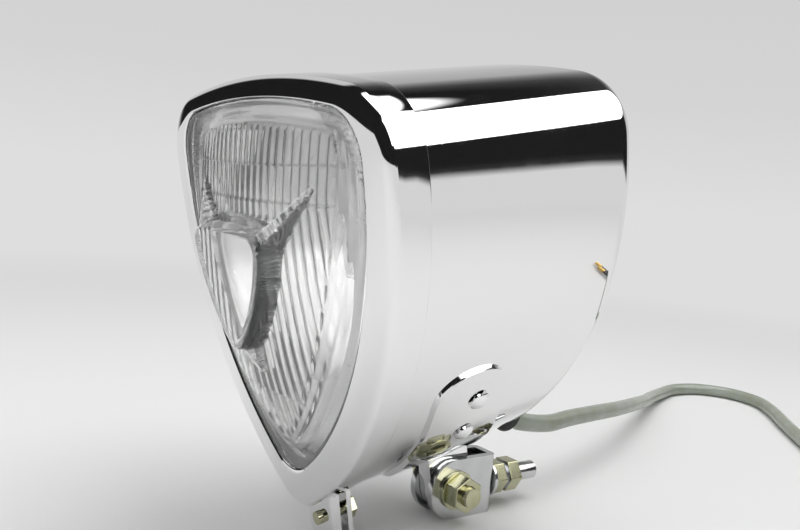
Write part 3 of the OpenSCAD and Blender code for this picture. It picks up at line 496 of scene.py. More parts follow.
def cable_line(steps=6):
    """Points along the smooth curve through the route, straight at first, in metres."""
    first = np.array(CABLE_START)
    route = [first, first + CABLE_STRAIGHT * np.array(CABLE_DIRECTION)]
    route += [np.array(p, float) for p in CABLE_ROUTE]
    route = [2 * route[0] - route[1]] + route + [2 * route[-1] - route[-2]]
    line = [route[1] + (route[2] - route[1]) * k / steps for k in range(steps)]
    for i in range(2, len(route) - 2):
        a, b, c, d = route[i - 1:i + 3]
        for k in range(steps):
            t = k / steps
            line.append(0.5 * (2 * b + (c - a) * t + (2 * a - 5 * b + 4 * c - d) * t ** 2
                               + (3 * b - a - 3 * c + d) * t ** 3))
    line.append(route[-2])
    return np.array(line) * MM


def make_cable():
    """The cable's sleeve as a curve along its route. Its cores and their bullet ends are CAD nodes."""
    line = cable_line()
    curve = bpy.data.curves.new("cable_sleeve", "CURVE")
    curve.dimensions = "3D"
    spline = curve.splines.new("POLY")
    spline.points.add(len(line) - 1)
    for point, place in zip(spline.points, line):
        point.co = (*place, 1.0)
    curve.bevel_depth = sizes().cable_d / 2
    curve.bevel_resolution = 6
    curve.use_fill_caps = True
    curve.materials.append(finishes()["clear_pvc"])
    sleeve = link("cable_sleeve", curve)
    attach(sleeve, "lamp_body")
    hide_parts("cable")


# Rim and housing

def make_rim():
    """Pressed rim: domed face round the window, crease, skirt and curled rear edge, as one closed sheet."""
    s = sizes()
    outer, window = rim_outline(), window_outline()
    sheet, bend_r = s.rim_sheet, 0.5 * MM
    face_steps, roll_steps = 16, 12
    # The face turns in by this depth over the last share of its width, at the window
    hem, hem_share = 0.5 * MM, 0.07
    # The roll runs from the slope of the face's foot to that of the crease
    inner_turn, outer_turn = math.radians(20), math.radians(68)
    edge, foot = window.points(), outer.points(0.1 * MM)
    run = edge - foot
    width = np.linalg.norm(run, axis=1, keepdims=True)
    roll_w = s.roll_r * (math.sin(outer_turn) - math.sin(inner_turn))
    start_y = s.crease - s.roll_r * (math.cos(inner_turn) - math.cos(outer_turn))

    def face_rings(depth):
        """Rings of the face at a depth behind its front, from the window's edge to the crease."""
        rings = []
        for k in range(face_steps + 1):
            t = 1 - k / face_steps
            turned_in = hem * max(0.0, (t - 1 + hem_share) / hem_share) ** 2
            places = foot + run * ((roll_w + (width - roll_w) * t) / width)
            rings.append(ring(places, start_y - s.face_drop * (1 - (1 - t) ** 2) + turned_in + depth))
        for k in range(1, roll_steps + 1):
            turn = inner_turn + (outer_turn - inner_turn) * k / roll_steps
            places = foot + run * (s.roll_r * (math.sin(outer_turn) - math.sin(turn)) / width)
            rings.append(ring(places, start_y + s.roll_r * (math.cos(inner_turn) - math.cos(turn)) + depth))
        return rings

    def bead(inset, depth, r, a0, a1, steps):
        """Rings round a bend of radius r, whose centre lies at an inset and a depth."""
        turns = [math.radians(a0 + (a1 - a0) * i / steps) for i in range(steps + 1)]
        return [ring(outer.points(inset - r * math.cos(a)), depth - r * math.sin(a)) for a in turns]

    rings = face_rings(0.0)
    rings += bead(bend_r, s.crease + bend_r * 0.9, bend_r, 40, 0, 5)[1:]
    rings += [ring(outer.points(0.0), y) for y in (4 * MM, 8 * MM)]
    rings += bead(sheet / 2, s.skirt - sheet / 2, sheet / 2, 0, -180, 10)
    rings += [ring(outer.points(sheet), y) for y in (9 * MM, s.crease + sheet)]
    rings += face_rings(sheet)[::-1]
    faces = loft_faces(len(rings), len(edge), True)
    mesh_piece("rim_shell", np.vstack(rings), faces, "rim_unit", "chrome_plate", "rim", 35)


def make_saddle():
    """Bent saddle: the solid's own form, its ears thinned and drawn down to their photographed height,
    with their inner faces kept on the housing."""
    outline = rim_outline()
    shell_r = outline.side_r - sizes().rim_sheet - sizes().shell_gap
    # Heights in the head's frame: the ears' feet, about the upper rivet's top, the solid's top, the wanted top
    foot, rivets_top, solid_top, wanted_top = -84 * MM, -49.5 * MM, -35 * MM, -40.2 * MM
    # The ears lose this share of their thickness, little by little over this height from their feet
    thinning, over = 0.35, 10 * MM
    draw = (wanted_top - rivets_top) / (solid_top - rivets_top)
    form = bmesh.new()
    form.from_mesh(NODES["saddle"].data)
    bmesh.ops.transform(form, matrix=head_matrix().inverted() @ NODES["saddle"].matrix_world,
                        verts=form.verts)
    bmesh.ops.remove_doubles(form, verts=form.verts, dist=0.003 * MM)
    bmesh.ops.dissolve_limit(form, angle_limit=math.radians(1), verts=form.verts, edges=form.edges)
    for vertex in form.verts:
        x, _, z = vertex.co
        if z > foot:
            r = math.hypot(abs(x) - outline.side[0], z - outline.side[1])
            r = shell_r + (r - shell_r) * (1 - thinning * min(1.0, (z - foot) / over))
            if z > rivets_top:
                z = rivets_top + (z - rivets_top) * draw
            across = outline.side[0] + math.sqrt(r ** 2 - (z - outline.side[1]) ** 2)
            vertex.co.x, vertex.co.z = math.copysign(across, x), z
    form.verts.index_update()
    points = [tuple(vertex.co) for vertex in form.verts]
    faces = [tuple(vertex.index for vertex in face.verts) for face in form.faces]
    form.free()
    break_edges(mesh_piece("bent_saddle", points, faces, "lamp_body", "chrome_plate", "saddle", 28), 0.3)


def make_housing():
    """Drawn housing: straight wall, rounded rear edge and closed back, with its sheet's thickness."""
    s = sizes()
    outer = rim_outline()
    gap = s.rim_sheet + s.shell_gap
    sheet, rear_r, back = s.shell_sheet, s.rear_r, s.depth
    steps = 16

    def bend(inset, radius, y1):
        turns = [math.pi / 2 * i / steps for i in range(steps + 1)]
        return [ring(outer.points(inset + radius * (1 - math.cos(a))), y1 - radius * (1 - math.sin(a)))
                for a in turns]

    def cap(inset, y1):
        edge = outer.points(inset)
        middle = edge.mean(axis=0)
        return [ring(middle + (edge - middle) * k, y1) for k in (0.8, 0.55, 0.3, 0.1)]

    inner = cap(gap + rear_r, back - sheet)[::-1] + bend(gap + sheet, rear_r - sheet, back - sheet)[::-1]
    walls = [ring(outer.points(inset), s.shell_front) for inset in (gap + sheet, gap)]
    walls += [ring(outer.points(gap), y) for y in (30 * MM, 55 * MM, 80 * MM)]
    rings = inner + walls + bend(gap, rear_r, back) + cap(gap + rear_r, back)
    around = len(rings[0])
    faces = loft_faces(len(rings), around, False)
    faces.append(tuple(range(around))[::-1])
    faces.append(tuple(range((len(rings) - 1) * around, len(rings) * around)))
    mesh_piece("housing_shell", np.vstack(rings), faces, "lamp_body", "chrome_plate", "housing", 35)


# Lens and reflector

def smooth_step(t):
    t = np.clip(t, 0.0, 1.0)
    return t * t * (3 - 2 * t)


def smooth_least(a, b, k):
    """The lesser of two depths, with a fillet of about k between them."""
    h = np.clip(0.5 + 0.5 * (b - a) / k, 0.0, 1.0)
    return b + (a - b) * h - k * h * (1 - h)


class LensForm:
    """Depths of the pressed glass over its height and width, in millimetres."""

    FLUTES = 24
    # Radii of the upper corners, the lower corner, the sides and the crown
    PANEL_RADII, BOSS_RADII, FOOT_RADII = (7, 8, 118, 300), (6, 7, 60, 150), (7, 8, 60, 150)
    # What the boss's foot adds to its width, to its top and to its height
    FOOT_WIDER, FOOT_HIGHER, FOOT_TALLER = 1.6, 3.2, 4.2
    BOSS_EDGE_R = 2.2
    # Drops of the two upper cuts from the panel's top, and rise of the third from its foot
    CUT_DROPS, LOW_CUT = (13, 24.5), 19
    # Share by which the flutes spread for each millimetre below the second cut
    SPREAD = 0.0042
    # Depths of the flange's front and back behind the rim's front
    SEAT_FRONT, SEAT_BACK = 2.4, 6.0
    # The ribs' bearings in degrees, lengths, half widths and depths from foot to tip, and rungs' rise
    RIB = {"bearing": 44, "length": 26, "halves": (2.3, 0.9), "depths": (-17.4, -4.4), "rungs": 0.16}
    LOW_RIB = {"bearing": -90, "length": 12, "halves": (2.8, 1.5), "depths": (-16.0, -8.8), "rungs": 0.0}
    RUNG_PITCH = 3.0
    # How steeply a rib falls away at its sides, past its tip and behind its heel
    SIDE_SLOPE, TIP_SLOPE, HEEL_SLOPE = 4.5, 3.2, 8.0
    # Distance from a rib's foot back to its heel
    HEEL = 3.0
    # Fillets where the boss, the slanting ribs and the low rib meet the glass
    BOSS_FILLET, RIB_FILLET, LOW_FILLET = 0.5, 0.35, 0.6
    # How much painted shade each part of the relief gets, from 0 to 1
    VALLEY, CUT, PANEL_EDGE, RIB_SIDE, RUNG = 0.95, 0.45, 0.3, 0.7, 0.55

    def __init__(self):
        s = sizes()
        mm = {key: getattr(s, key) / MM for key in LampSizes.__annotations__}
        self.mm = mm
        top = mm["crown_up"] - mm["land_top"]
        low = mm["crown_up"] - mm["rim_height"] + mm["land_low"]
        width = mm["rim_width"] - 2 * mm["land_side"]
        self.window_top, self.window_low, self.window_half = top, low, width / 2
        self.window = Outline(width, top, top - low, mm["window_corner_r"], mm["window_apex_r"],
                              mm["side_r"] - mm["land_side"], mm["crown_r"] - mm["land_top"])
        self.panel_w = width - 2 * mm["margin_side"]
        self.top, self.low = top - mm["margin_top"], low + mm["margin_low"]
        self.panel = Outline(self.panel_w, self.top, self.top - self.low, *self.PANEL_RADII)
        self.boss = Outline(mm["boss_width"], mm["boss_top"], mm["boss_height"], *self.BOSS_RADII)
        self.foot = Outline(mm["boss_width"] + self.FOOT_WIDER, mm["boss_top"] + self.FOOT_HIGHER,
                            mm["boss_height"] + self.FOOT_TALLER, *self.FOOT_RADII)
        # A slanting rib springs from each upper corner of the boss, and the low one from its lower corner
        self.rib_foot = self.boss.corner + 2.0
        self.low_foot = (0.0, mm["boss_top"] - mm["boss_height"] + 2)
        # The flutes take up half a millimetre more than the panel at each side
        self.pitch = (self.panel_w + 1) / self.FLUTES
        # Lower edges of the top row, the next row and the long row of flutes
        self.cuts = (self.top - self.CUT_DROPS[0], self.top - self.CUT_DROPS[1], self.low + self.LOW_CUT)
        # Depth of the glass just inside the window, level with the rim's edge there, which make_rim() turns
        # in by half a millimetre. The factor is the cosine of its roll's first slope less that of its last
        self.lip = mm["crease"] - mm["roll_r"] * 0.565 - mm["face_drop"] + 0.5

    def fan(self, z):
        """Flutes run upright in the two upper rows and spread a little below them."""
        return 1 + self.SPREAD * np.maximum(0.0, self.cuts[1] - z)

    def dome(self, x, z):
        mm = self.mm
        fall = (z + mm["dome_z"]) ** 2 / (2 * mm["dome_r"]) + x ** 2 / (2 * mm["dome_side_r"])
        return fall - mm["dome_rise"]

    def margin(self, x, z):
        """Rounded edge inside the window, then soft waves that rise to the fluted panel."""
        outside, inside = self.window.inset_at(x, z), -self.panel.inset_at(x, z)
        t = np.clip(outside / np.maximum(outside + inside, 0.01), 0.0, 1.0)
        wave_depth, waves = 0.1, 3.0
        wave = wave_depth * np.cos(2 * math.pi * waves * t) * smooth_step(t * 5) * smooth_step((1 - t) * 5)
        rise = self.lip + (self.dome(x, z) + 0.15 - self.lip) * (0.35 * t + 0.65 * smooth_step(t)) + wave
        return rise + (self.SEAT_FRONT - self.lip) * (1 - smooth_step((outside + 0.9) / 1.8))

    def across_flute(self, s):
        """Place across a flute, from -1 in one valley through 0 on its ridge to 1 in the next."""
        return 2 * (np.mod(s / self.pitch, 1.0) - 0.5)

    def flutes(self, s, z):
        first, second, third = self.cuts
        lifted = (z > first) | ((z < second) & (z > third))
        ridge = self.mm["flute_depth"] * (1 - self.across_flute(s) ** 2)
        return -ridge - self.mm["row_step"] * lifted

    def on_rib(self, x, z, foot, bearing):
        """How far points lie along a rib from its foot, and to the left of its middle."""
        run, rise = math.cos(math.radians(bearing)), math.sin(math.radians(bearing))
        return (x - foot[0]) * run + (z - foot[1]) * rise, -(x - foot[0]) * rise + (z - foot[1]) * run

    def rib(self, x, z, foot, bearing, length, halves, depths, rungs):
        """Tapering rib that falls away along a bearing, with rungs of this rise across its crest."""
        along, off = self.on_rib(x, z, foot, bearing)
        t = np.clip(along / length, 0.0, 1.0)
        depth = depths[0] + (depths[1] - depths[0]) * t
        depth = depth + rungs * np.cos(2 * math.pi * along / self.RUNG_PITCH)
        half = halves[0] + (halves[1] - halves[0]) * t
        depth = depth + self.SIDE_SLOPE * np.maximum(0.0, np.abs(off) - half)
        past_tip, past_heel = np.maximum(0.0, along - length), np.maximum(0.0, -self.HEEL - along)
        return depth + self.TIP_SLOPE * past_tip + self.HEEL_SLOPE * past_heel

    def down_flank(self, on_boss, on_foot):
        """Share of the way down the boss's flank, from 0 at its face to 1 at its foot."""
        return np.clip(-on_boss / np.maximum(on_foot - on_boss, 0.01), 0.0, 1.0)

    def front(self, s, x, z):
        """Outer face: margin, fluted panel, boss and ribs, with fillets between them."""
        rise, edge_r = self.mm["boss_rise"], self.BOSS_EDGE_R
        within = self.panel.inset_at(x, z)
        depth = self.dome(x, z) + self.flutes(s, z) * smooth_step((within + 0.2) / 1.6)
        depth = np.where(within > 0.0, depth, self.margin(x, z))
        on_boss, on_foot = self.boss.inset_at(x, z), self.foot.inset_at(x, z)
        edge_in = np.clip(edge_r - on_boss, 0.0, edge_r)
        face = -rise + (edge_r - np.sqrt(np.maximum(edge_r ** 2 - edge_in ** 2, 0.0)))
        down = smooth_step(self.down_flank(on_boss, on_foot))
        flank = -rise + edge_r + (depth + rise - edge_r + 0.3) * down
        clear_of_glass = 5.0
        boss = np.where(on_boss > 0, face, np.where(on_foot > 0, flank, clear_of_glass))
        depth = smooth_least(depth, boss, self.BOSS_FILLET)
        for side in (1, -1):
            depth = smooth_least(depth, self.rib(side * x, z, self.rib_foot, **self.RIB), self.RIB_FILLET)
        return smooth_least(depth, self.rib(x, z, self.low_foot, **self.LOW_RIB), self.LOW_FILLET)

    def shade(self, s, x, z):
        """Painted shade in the mould's narrow valleys, steps and steep flanks, from 0 to 1."""
        within = self.panel.inset_at(x, z)
        dark = self.VALLEY * np.abs(self.across_flute(s)) ** 5 * smooth_step(within / 1.2)
        for cut in self.cuts:
            dark = np.maximum(dark, self.CUT * (np.abs(z - cut) < 0.4) * (within > 0))
        dark = np.maximum(dark, self.PANEL_EDGE * smooth_step(1 - np.abs(within) / 0.9))
        on_boss, on_foot = self.boss.inset_at(x, z), self.foot.inset_at(x, z)
        flank = (on_boss < 0.6) & (on_foot > 0)
        crown = smooth_step((z - self.mm["boss_top"] + 4.0) / 3.0)
        on_flank = (1.0 - 0.2 * self.down_flank(on_boss, on_foot)) * (1 - 0.75 * crown)
        dark = np.where(flank, on_flank, np.where(on_boss >= 0.6, 0.0, dark))
        along, off = self.on_rib(np.abs(x), z, self.rib_foot, self.RIB["bearing"])
        length, (foot_half, tip_half) = self.RIB["length"], self.RIB["halves"]
        half = foot_half + (tip_half - foot_half) * np.clip(along / length, 0, 1)
        beside = (off < -half) & (off > -half - 3.2 * (1 - along / 30)) & (along > -1) & (along < 25)
        dark = np.where(beside & (on_foot < 0), self.RIB_SIDE, dark)
        crest = (np.abs(off) < half) & (along > 0) & (along < length) & (on_foot < 0)
        on_rung = np.cos(2 * math.pi * along / self.RUNG_PITCH) > 0.55
        return np.where(crest, self.RUNG * on_rung * (np.abs(off) < 0.55 * half), dark)

    def back(self, x, z):
        """Smooth inner face."""
        mm = self.mm
        centre, rise = -mm["dome_z"], mm["dome_rise"] - mm["glass"]
        reach_up = np.where(z > centre, self.window_top - centre, centre - self.window_low)
        share = (x / self.window_half) ** 2 + ((z - centre) / reach_up) ** 2
        return smooth_least(-rise + (self.SEAT_BACK + rise) * share, self.SEAT_BACK + 0.0 * x, 1.5)


def make_lens():
    """Pressed lens as one closed glass: smooth margin, rows of flutes that follow the dome, boss, ribs."""
    form = LensForm()
    seat = sizes().seat / MM
    # The grid: points for each flute, flutes to each side, height of a row, and its reach past the panel
    per_flute, aside, row, below, above = 9, 17, 0.45, 20, 14
    across = np.linspace(-aside * form.pitch, aside * form.pitch, 2 * aside * per_flute + 1)
    up = np.arange(form.low - below, form.top + above, row)
    # Two rows close together make each cut a step
    for cut in form.cuts:
        up = np.concatenate([up[np.abs(up - cut) > 0.3], [cut - 0.1, cut + 0.1]])
    up = np.sort(up)
    s, z = np.meshgrid(across, up)
    x = s * form.fan(z)
    kept = form.window.inset_at(x, z) > -seat
    front = np.stack([x, form.front(s, x, z), z], axis=-1)
    back = np.stack([x, form.back(x, z), z], axis=-1)
    cells = kept[:-1, :-1] & kept[1:, :-1] & kept[:-1, 1:] & kept[1:, 1:]
    rows, columns = s.shape
    index = np.arange(rows * columns).reshape(rows, columns)
    count = rows * columns
    a, b = index[:-1, :-1][cells], index[:-1, 1:][cells]
    c, d = index[1:, 1:][cells], index[1:, :-1][cells]
    faces = np.concatenate([np.stack([a, b, c, d], axis=1), count + np.stack([d, c, b, a], axis=1)])
    padded = np.pad(cells, 1)
    walls = []
    for di, dj, first, second in ((0, -1, d, a), (0, 1, b, c), (-1, 0, a, b), (1, 0, c, d)):
        open_side = ~padded[1 + di:rows + di, 1 + dj:columns + dj][cells]
        p, q = first[open_side], second[open_side]
        walls.append(np.stack([q, p, count + p, count + q], axis=1))
    faces = np.concatenate([faces] + walls)
    used, faces = np.unique(faces, return_inverse=True)
    points = np.concatenate([front.reshape(-1, 3), back.reshape(-1, 3)])[used] * MM
    lens = mesh_piece("pressed_lens", points, faces.reshape(-1, 4).tolist(), "rim_unit", "lens_glass",
                      "lens", 50)
    # Painted shade for the lens's front points and none for its back, kept on the mesh for the glass's colour
    shade = np.concatenate([form.shade(s, x, z).reshape(-1), np.zeros(count)])[used]
    pressed = lens.data.attributes.new("painted_glass_shade", "FLOAT", "POINT")
    pressed.data.foreach_set("value", shade.astype(np.float32))


def make_reflector():
    """Spun and silvered bowl with its neck, on a flange that follows the window."""
    s = sizes()
    sheet, face, neck = 0.8 * MM, 6 * MM, 8 * MM
    steps = 128
    bottom = face + s.bowl_r ** 2 / (4 * s.focal)
    radii = np.linspace(s.bowl_r, s.neck_r, 40)
    depths = bottom - radii ** 2 / (4 * s.focal)
    inner = list(zip(radii, depths)) + [(s.neck_r, depths[-1] + neck)]
    outside = [(r, y + sheet) for r, y in inner[:-1]] + [(s.neck_r + sheet, inner[-1][1] + sheet)]
    flange = window_outline().points(-s.seat)
    turns = np.unwrap(np.arctan2(flange[:, 1], flange[:, 0]))
    around = np.linspace(turns[0], turns[0] - 2 * math.pi, steps, endpoint=False)
    round_trip = -np.append(turns, turns[0] - 2 * math.pi)
    far = np.array([np.interp(-around, round_trip, np.append(k, k[0])) for k in flange.T]).T

    def circle(r, y):
        return np.array([(r * math.cos(t), y, r * math.sin(t)) for t in around])

    rings = [ring(far, face)] + [circle(r, y) for r, y in inner + outside[::-1]] + [ring(far, face + sheet)]
    faces = loft_faces(len(rings), steps, True)
    mesh_piece("reflector_bowl", np.vstack(rings), faces, "rim_unit", "mirror", "reflector", 30)


# Finishes of the carried-over solids

def break_edges(obj, width_mm):
    """Joins a solid's facets and rounds its sharp edges."""
    weld = obj.modifiers.new("join_facets", "WELD")
    weld.merge_threshold = 0.002 * MM
    bevel = obj.modifiers.new("broken_edges", "BEVEL")
    bevel.width = width_mm * MM
    bevel.segments = 3
    bevel.limit_method = "ANGLE"
    bevel.angle_limit = math.radians(40)
    bevel.harden_normals = True
    bevel.use_clamp_overlap = True


def dress_solids():
    """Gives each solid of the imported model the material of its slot, and breaks its sharp edges."""
    edges = {"fork": 0.4, "stud_nuts": 0.35, "pivot_nut": 0.35, "pivot_bolt": 0.35, "rim_lug": 0.3,
             "housing_lug": 0.3, "rim_screw": 0.25, "pivot_washers": 0.2, "stud_washer": 0.25,
             "ear_rivets": 0.15, "stud_spring_washer": 0.2, "mount_stud": 0.5, "screw_washer": 0.15,
             "grommet": 0.4, "bullet_ends": 0.2, "contact_blades": 0.1, "spade_sockets": 0.1,
             "bulb_base": 0.2, "bulb_holder": 0.2}
    for row in frame["record"]["subparts"]:
        obj = NODES[row["node"]]
        obj.data.materials.clear()
        obj.data.materials.append(finishes()[row["material_slot"]])
        if row["node"] in edges:
            break_edges(obj, edges[row["node"]])


# Stage

TABLE = -0.0125


def make_world():
    """Pale surroundings, the same for the camera, for metal and for glass, and an even soft light."""
    c = colours()
    world = bpy.data.worlds.new("pale_backdrop")
    bpy.context.scene.world = world
    world.use_nodes = True
    tree = world.node_tree
    tree.nodes.clear()
    output = add(tree, "ShaderNodeOutputWorld")
    direction = add(tree, "ShaderNodeTexCoord").outputs["Generated"]
    height = add(tree, "ShaderNodeSeparateXYZ", {"Vector": direction}).outputs["Z"]
    sky = ramp_stops(add(tree, "ShaderNodeValToRGB", {"Fac": height}),
                     ((0.0, c.sky_low), (0.12, c.sky_mid), (0.4, c.sky_high)))
    seen = add(tree, "ShaderNodeBackground", {"Color": sky.outputs["Color"], "Strength": 1.0})
    soft = add(tree, "ShaderNodeBackground", {"Color": c.backdrop, "Strength": 0.3})
    lit = add(tree, "ShaderNodeMixShader", {0: seeing_rays(tree), 1: soft.outputs["Background"],
                                            2: seen.outputs["Background"]})
    tree.links.new(lit.outputs["Shader"], output.inputs["Surface"])


def tent_material():
    """Black cloth with openings, which gives the plated parts their dark bands, and the lit faces of a
    soft box, which give them their white ones."""
    material, tree, output, place = start("black_cloth_and_soft_box")
    direction = add(tree, "ShaderNodeVectorMath", {0: place}, operation="NORMALIZE").outputs["Vector"]
    height = add(tree, "ShaderNodeSeparateXYZ", {"Vector": direction}).outputs["Z"]

    def beyond(normal, at, soft=0.01):
        """1 where the direction lies beyond a plane through the lamp, 0 before it, with a soft edge."""
        dot = add(tree, "ShaderNodeVectorMath", {0: direction, 1: normal}, operation="DOT_PRODUCT")
        edge = {"Value": dot.outputs["Value"], "From Min": at - soft, "From Max": at + soft}
        return add(tree, "ShaderNodeMapRange", edge, interpolation_type="SMOOTHSTEP").outputs["Result"]

    def by_height(*stops):
        return ramp_stops(add(tree, "ShaderNodeValToRGB", {"Fac": height}), stops).outputs["Color"]

    def join(operation, one, *others):
        """Masks joined in turn: MULTIPLY keeps what lies in all of them, MAXIMUM what lies in any."""
        for other in others:
            one = add(tree, "ShaderNodeMath", {0: one, 1: other}, operation=operation).outputs["Value"]
        return one

    box = join("MULTIPLY", beyond((0, 0, 1), 0.43), beyond((0.861, 0.352, -0.366), 0.0),
               beyond((-0.57, 0.82, 0.0), -0.62, 0.05))
    above = join("MULTIPLY", beyond((0, 0, 1), 0.9, 0.02), beyond((1, 0, 0), -0.25, 0.05))
    below = join("MULTIPLY", by_height((0.0, 1.0), (0.03, 0.03), (0.06, 0.0)),
                 beyond((0, 0.24, -0.971), 0.0, 0.03))
    behind = join("MULTIPLY", beyond((-1, 0.1, 0), 0.0, 0.06), beyond((0.05, 1, 0), 0.12, 0.12),
                  by_height((0.0, 1.0), (0.25, 0.9), (0.5, 0.5), (0.72, 0.09), (0.84, 0.0)))
    beside = join("MULTIPLY", beyond((-0.98, 0.2, 0), 0.62, 0.1), beyond((0, 1, 0), -0.16, 0.08),
                  beyond((0, -1, 0), -0.36, 0.06))
    cloth = add(tree, "ShaderNodeBsdfPrincipled", {"Base Color": colours().cloth, "Roughness": 0.9})
    gap = add(tree, "ShaderNodeBsdfTransparent")
    face = add(tree, "ShaderNodeEmission", {"Color": (1, 1, 1, 1), "Strength": 3.2})
    hung = add(tree, "ShaderNodeMixShader", {0: join("MAXIMUM", below, behind, beside),
                                             1: cloth.outputs["BSDF"], 2: gap.outputs["BSDF"]})
    lit = add(tree, "ShaderNodeMixShader", {0: join("MAXIMUM", box, above), 1: hung.outputs["Shader"],
                                            2: face.outputs["Emission"]})
    tree.links.new(lit.outputs["Shader"], output.inputs["Surface"])
    return material


def make_tent():
    """Cloth dome round the lamp, as a studio hangs it for plated work. Only reflections show it."""
    radius, around, levels = 6.0, 96, 34
    lowest, highest = math.radians(-28), math.radians(89.5)
    turns = np.linspace(0, 2 * math.pi, around, endpoint=False)
    rings = []
    for k in range(levels):
        el = lowest + (highest - lowest) * k / (levels - 1)
        rings += [(radius * math.cos(el) * math.cos(t), radius * math.cos(el) * math.sin(t),
                   radius * math.sin(el)) for t in turns]
    faces = loft_faces(levels, around, False) + [tuple(range((levels - 1) * around, levels * around))]
    tent = link("cloth_tent", new_mesh("cloth_tent", rings, faces, tent_material()))
    tent.location = (0, -0.03, 0.1)
    tent.visible_camera = tent.visible_diffuse = tent.visible_shadow = tent.visible_transmission = False


def floor_material():
    """Matt pale paper that takes on the sky's low tone away from the lamp, so that it shows no far edge."""
    material, tree, output, place = start("matt_paper_floor")
    tooth = add(tree, "ShaderNodeTexNoise", {"Vector": place, "Scale": per_metre(2), "Detail": 4.0})
    rough = add(tree, "ShaderNodeMapRange", {"Value": tooth.outputs["Fac"], "To Min": 0.75,
                                             "To Max": 0.9})
    paper = add(tree, "ShaderNodeBsdfPrincipled", {"Base Color": colours().floor,
                                                   "Roughness": rough.outputs["Result"]})
    clear = add(tree, "ShaderNodeBsdfTransparent")
    tone = add(tree, "ShaderNodeEmission", {"Color": colours().sky_low, "Strength": 1.0})
    gone = add(tree, "ShaderNodeMixShader", {0: seeing_rays(tree), 1: clear.outputs["BSDF"],
                                             2: tone.outputs["Emission"]})
    reach = add(tree, "ShaderNodeVectorMath", {0: place}, operation="LENGTH").outputs["Value"]
    fade = add(tree, "ShaderNodeMapRange", {"Value": reach, "From Min": 0.25, "From Max": 1.05},
               interpolation_type="SMOOTHSTEP").outputs["Result"]
    mixed = add(tree, "ShaderNodeMixShader", {0: fade, 1: paper.outputs["BSDF"],
                                              2: gone.outputs["Shader"]})
    tree.links.new(mixed.outputs["Shader"], output.inputs["Surface"])
    return material


def make_floor():
    """Plane that the lamp lies on, which reaches further behind it than in front."""
    half, front = 8.0, 1.1
    corners = [(-half, -front, TABLE), (half, -front, TABLE), (half, half, TABLE), (-half, half, TABLE)]
    link("floor", new_mesh("floor", corners, [(0, 1, 2, 3)], floor_material()))


def area_lamp(name, place, aim, width, height, watts):
    """Rectangular soft light, aimed at a point. Reflections show the tent in its place."""
    data = bpy.data.lights.new(name, "AREA")
    data.shape = "RECTANGLE"
    data.size, data.size_y = width, height
    data.energy = watts
    lamp = link(name, data)
    lamp.location = place
    lamp.rotation_mode = "QUATERNION"
    lamp.rotation_quaternion = (Vector(place) - Vector(aim)).to_track_quat("Z", "Y")
    lamp.visible_glossy = False


def make_lights():
    """Two broad soft lamps high over the lamp and one in front of it."""
    area_lamp("soft_box", (0.12, 0.3, 1.2), (0, 0.05, 0.0), 1.1, 0.9, 10)
    area_lamp("overhead_fill", (-0.35, -0.45, 1.2), (0, 0, 0.0), 1.0, 1.0, 4)
    area_lamp("front_fill", (0.25, -1.15, 0.55), (0, -0.1, 0.08), 1.5, 1.1, 9)


# Operators and panel

class LAMP_OT_camera(bpy.types.Operator):
    """Makes the camera at the photograph's place"""
    bl_idname = "lamp.camera"
    bl_label = "Camera"

    def execute(self, context):
        make_camera()
        return {"FINISHED"}


class LAMP_OT_cable(bpy.types.Operator):
    bl_idname = "lamp.cable"
    bl_label = "Cable"

    def execute(self, context):
        make_cable()
        return {"FINISHED"}


class LAMP_OT_solids(bpy.types.Operator):
    """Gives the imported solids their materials"""
    bl_idname = "lamp.solids"
    bl_label = "Finish the solids"

    def execute(self, context):
        dress_solids()
        return {"FINISHED"}


class LAMP_OT_rim(bpy.types.Operator):
    """Makes the pressed and plated rim"""
    bl_idname = "lamp.rim"
    bl_label = "Rim"

    def execute(self, context):
        make_rim()
        return {"FINISHED"}


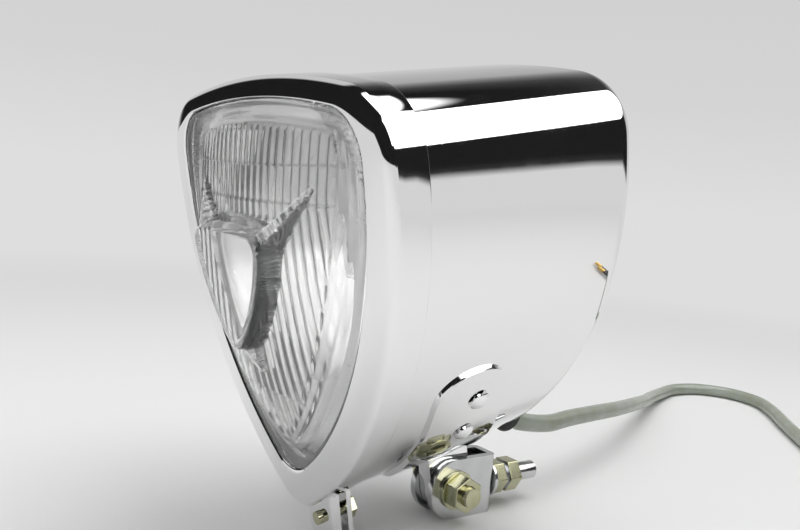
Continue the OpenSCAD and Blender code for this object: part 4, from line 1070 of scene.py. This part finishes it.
class LAMP_OT_lens(bpy.types.Operator):
    """Makes the pressed lens and the silvered reflector behind it"""
    bl_idname = "lamp.lens"
    bl_label = "Lens and reflector"

    def execute(self, context):
        make_lens()
        make_reflector()
        return {"FINISHED"}


class LAMP_OT_housing(bpy.types.Operator):
    """Makes the drawn and plated housing and its saddle"""
    bl_idname = "lamp.housing"
    bl_label = "Housing and saddle"

    def execute(self, context):
        make_housing()
        make_saddle()
        return {"FINISHED"}


class LAMP_OT_stage(bpy.types.Operator):
    """Makes the pale floor, the surroundings and the soft lights"""
    bl_idname = "lamp.stage"
    bl_label = "Stage and lights"

    def execute(self, context):
        make_world()
        make_tent()
        make_floor()
        make_lights()
        return {"FINISHED"}


OPERATORS = (LAMP_OT_camera, LAMP_OT_cable, LAMP_OT_solids, LAMP_OT_rim, LAMP_OT_lens,
             LAMP_OT_housing, LAMP_OT_stage)


class LAMP_PT_panel(bpy.types.Panel):
    """Sizes, colours and pieces of the lamp"""
    bl_label = "Triangular Car Lamp"
    bl_idname = "LAMP_PT_panel"
    bl_space_type = "VIEW_3D"
    bl_region_type = "UI"
    bl_category = "Lamp"

    def draw(self, context):
        layout = self.layout
        for group in (context.scene.lamp_sizes, context.scene.lamp_colours):
            column = layout.column()
            for key in group.__annotations__:
                column.prop(group, key)
        for operator in OPERATORS:
            layout.operator(operator.bl_idname)


CLASSES = (LampSizes, LampColours) + OPERATORS + (LAMP_PT_panel,)


def register():
    for cls in CLASSES:
        bpy.utils.register_class(cls)
    bpy.types.Scene.lamp_sizes = bpy.props.PointerProperty(type=LampSizes)
    bpy.types.Scene.lamp_colours = bpy.props.PointerProperty(type=LampColours)


def unregister():
    del bpy.types.Scene.lamp_colours
    del bpy.types.Scene.lamp_sizes
    for cls in reversed(CLASSES):
        bpy.utils.unregister_class(cls)


def main():
    bpy.context.scene.view_settings.view_transform = "Standard"
    register()
    bpy.ops.lamp.camera()
    bpy.ops.lamp.cable()
    bpy.ops.lamp.solids()
    bpy.ops.lamp.rim()
    bpy.ops.lamp.lens()
    bpy.ops.lamp.housing()
    bpy.ops.lamp.stage()
    bpy.context.view_layer.update()


if __name__ == "__main__":
    main()
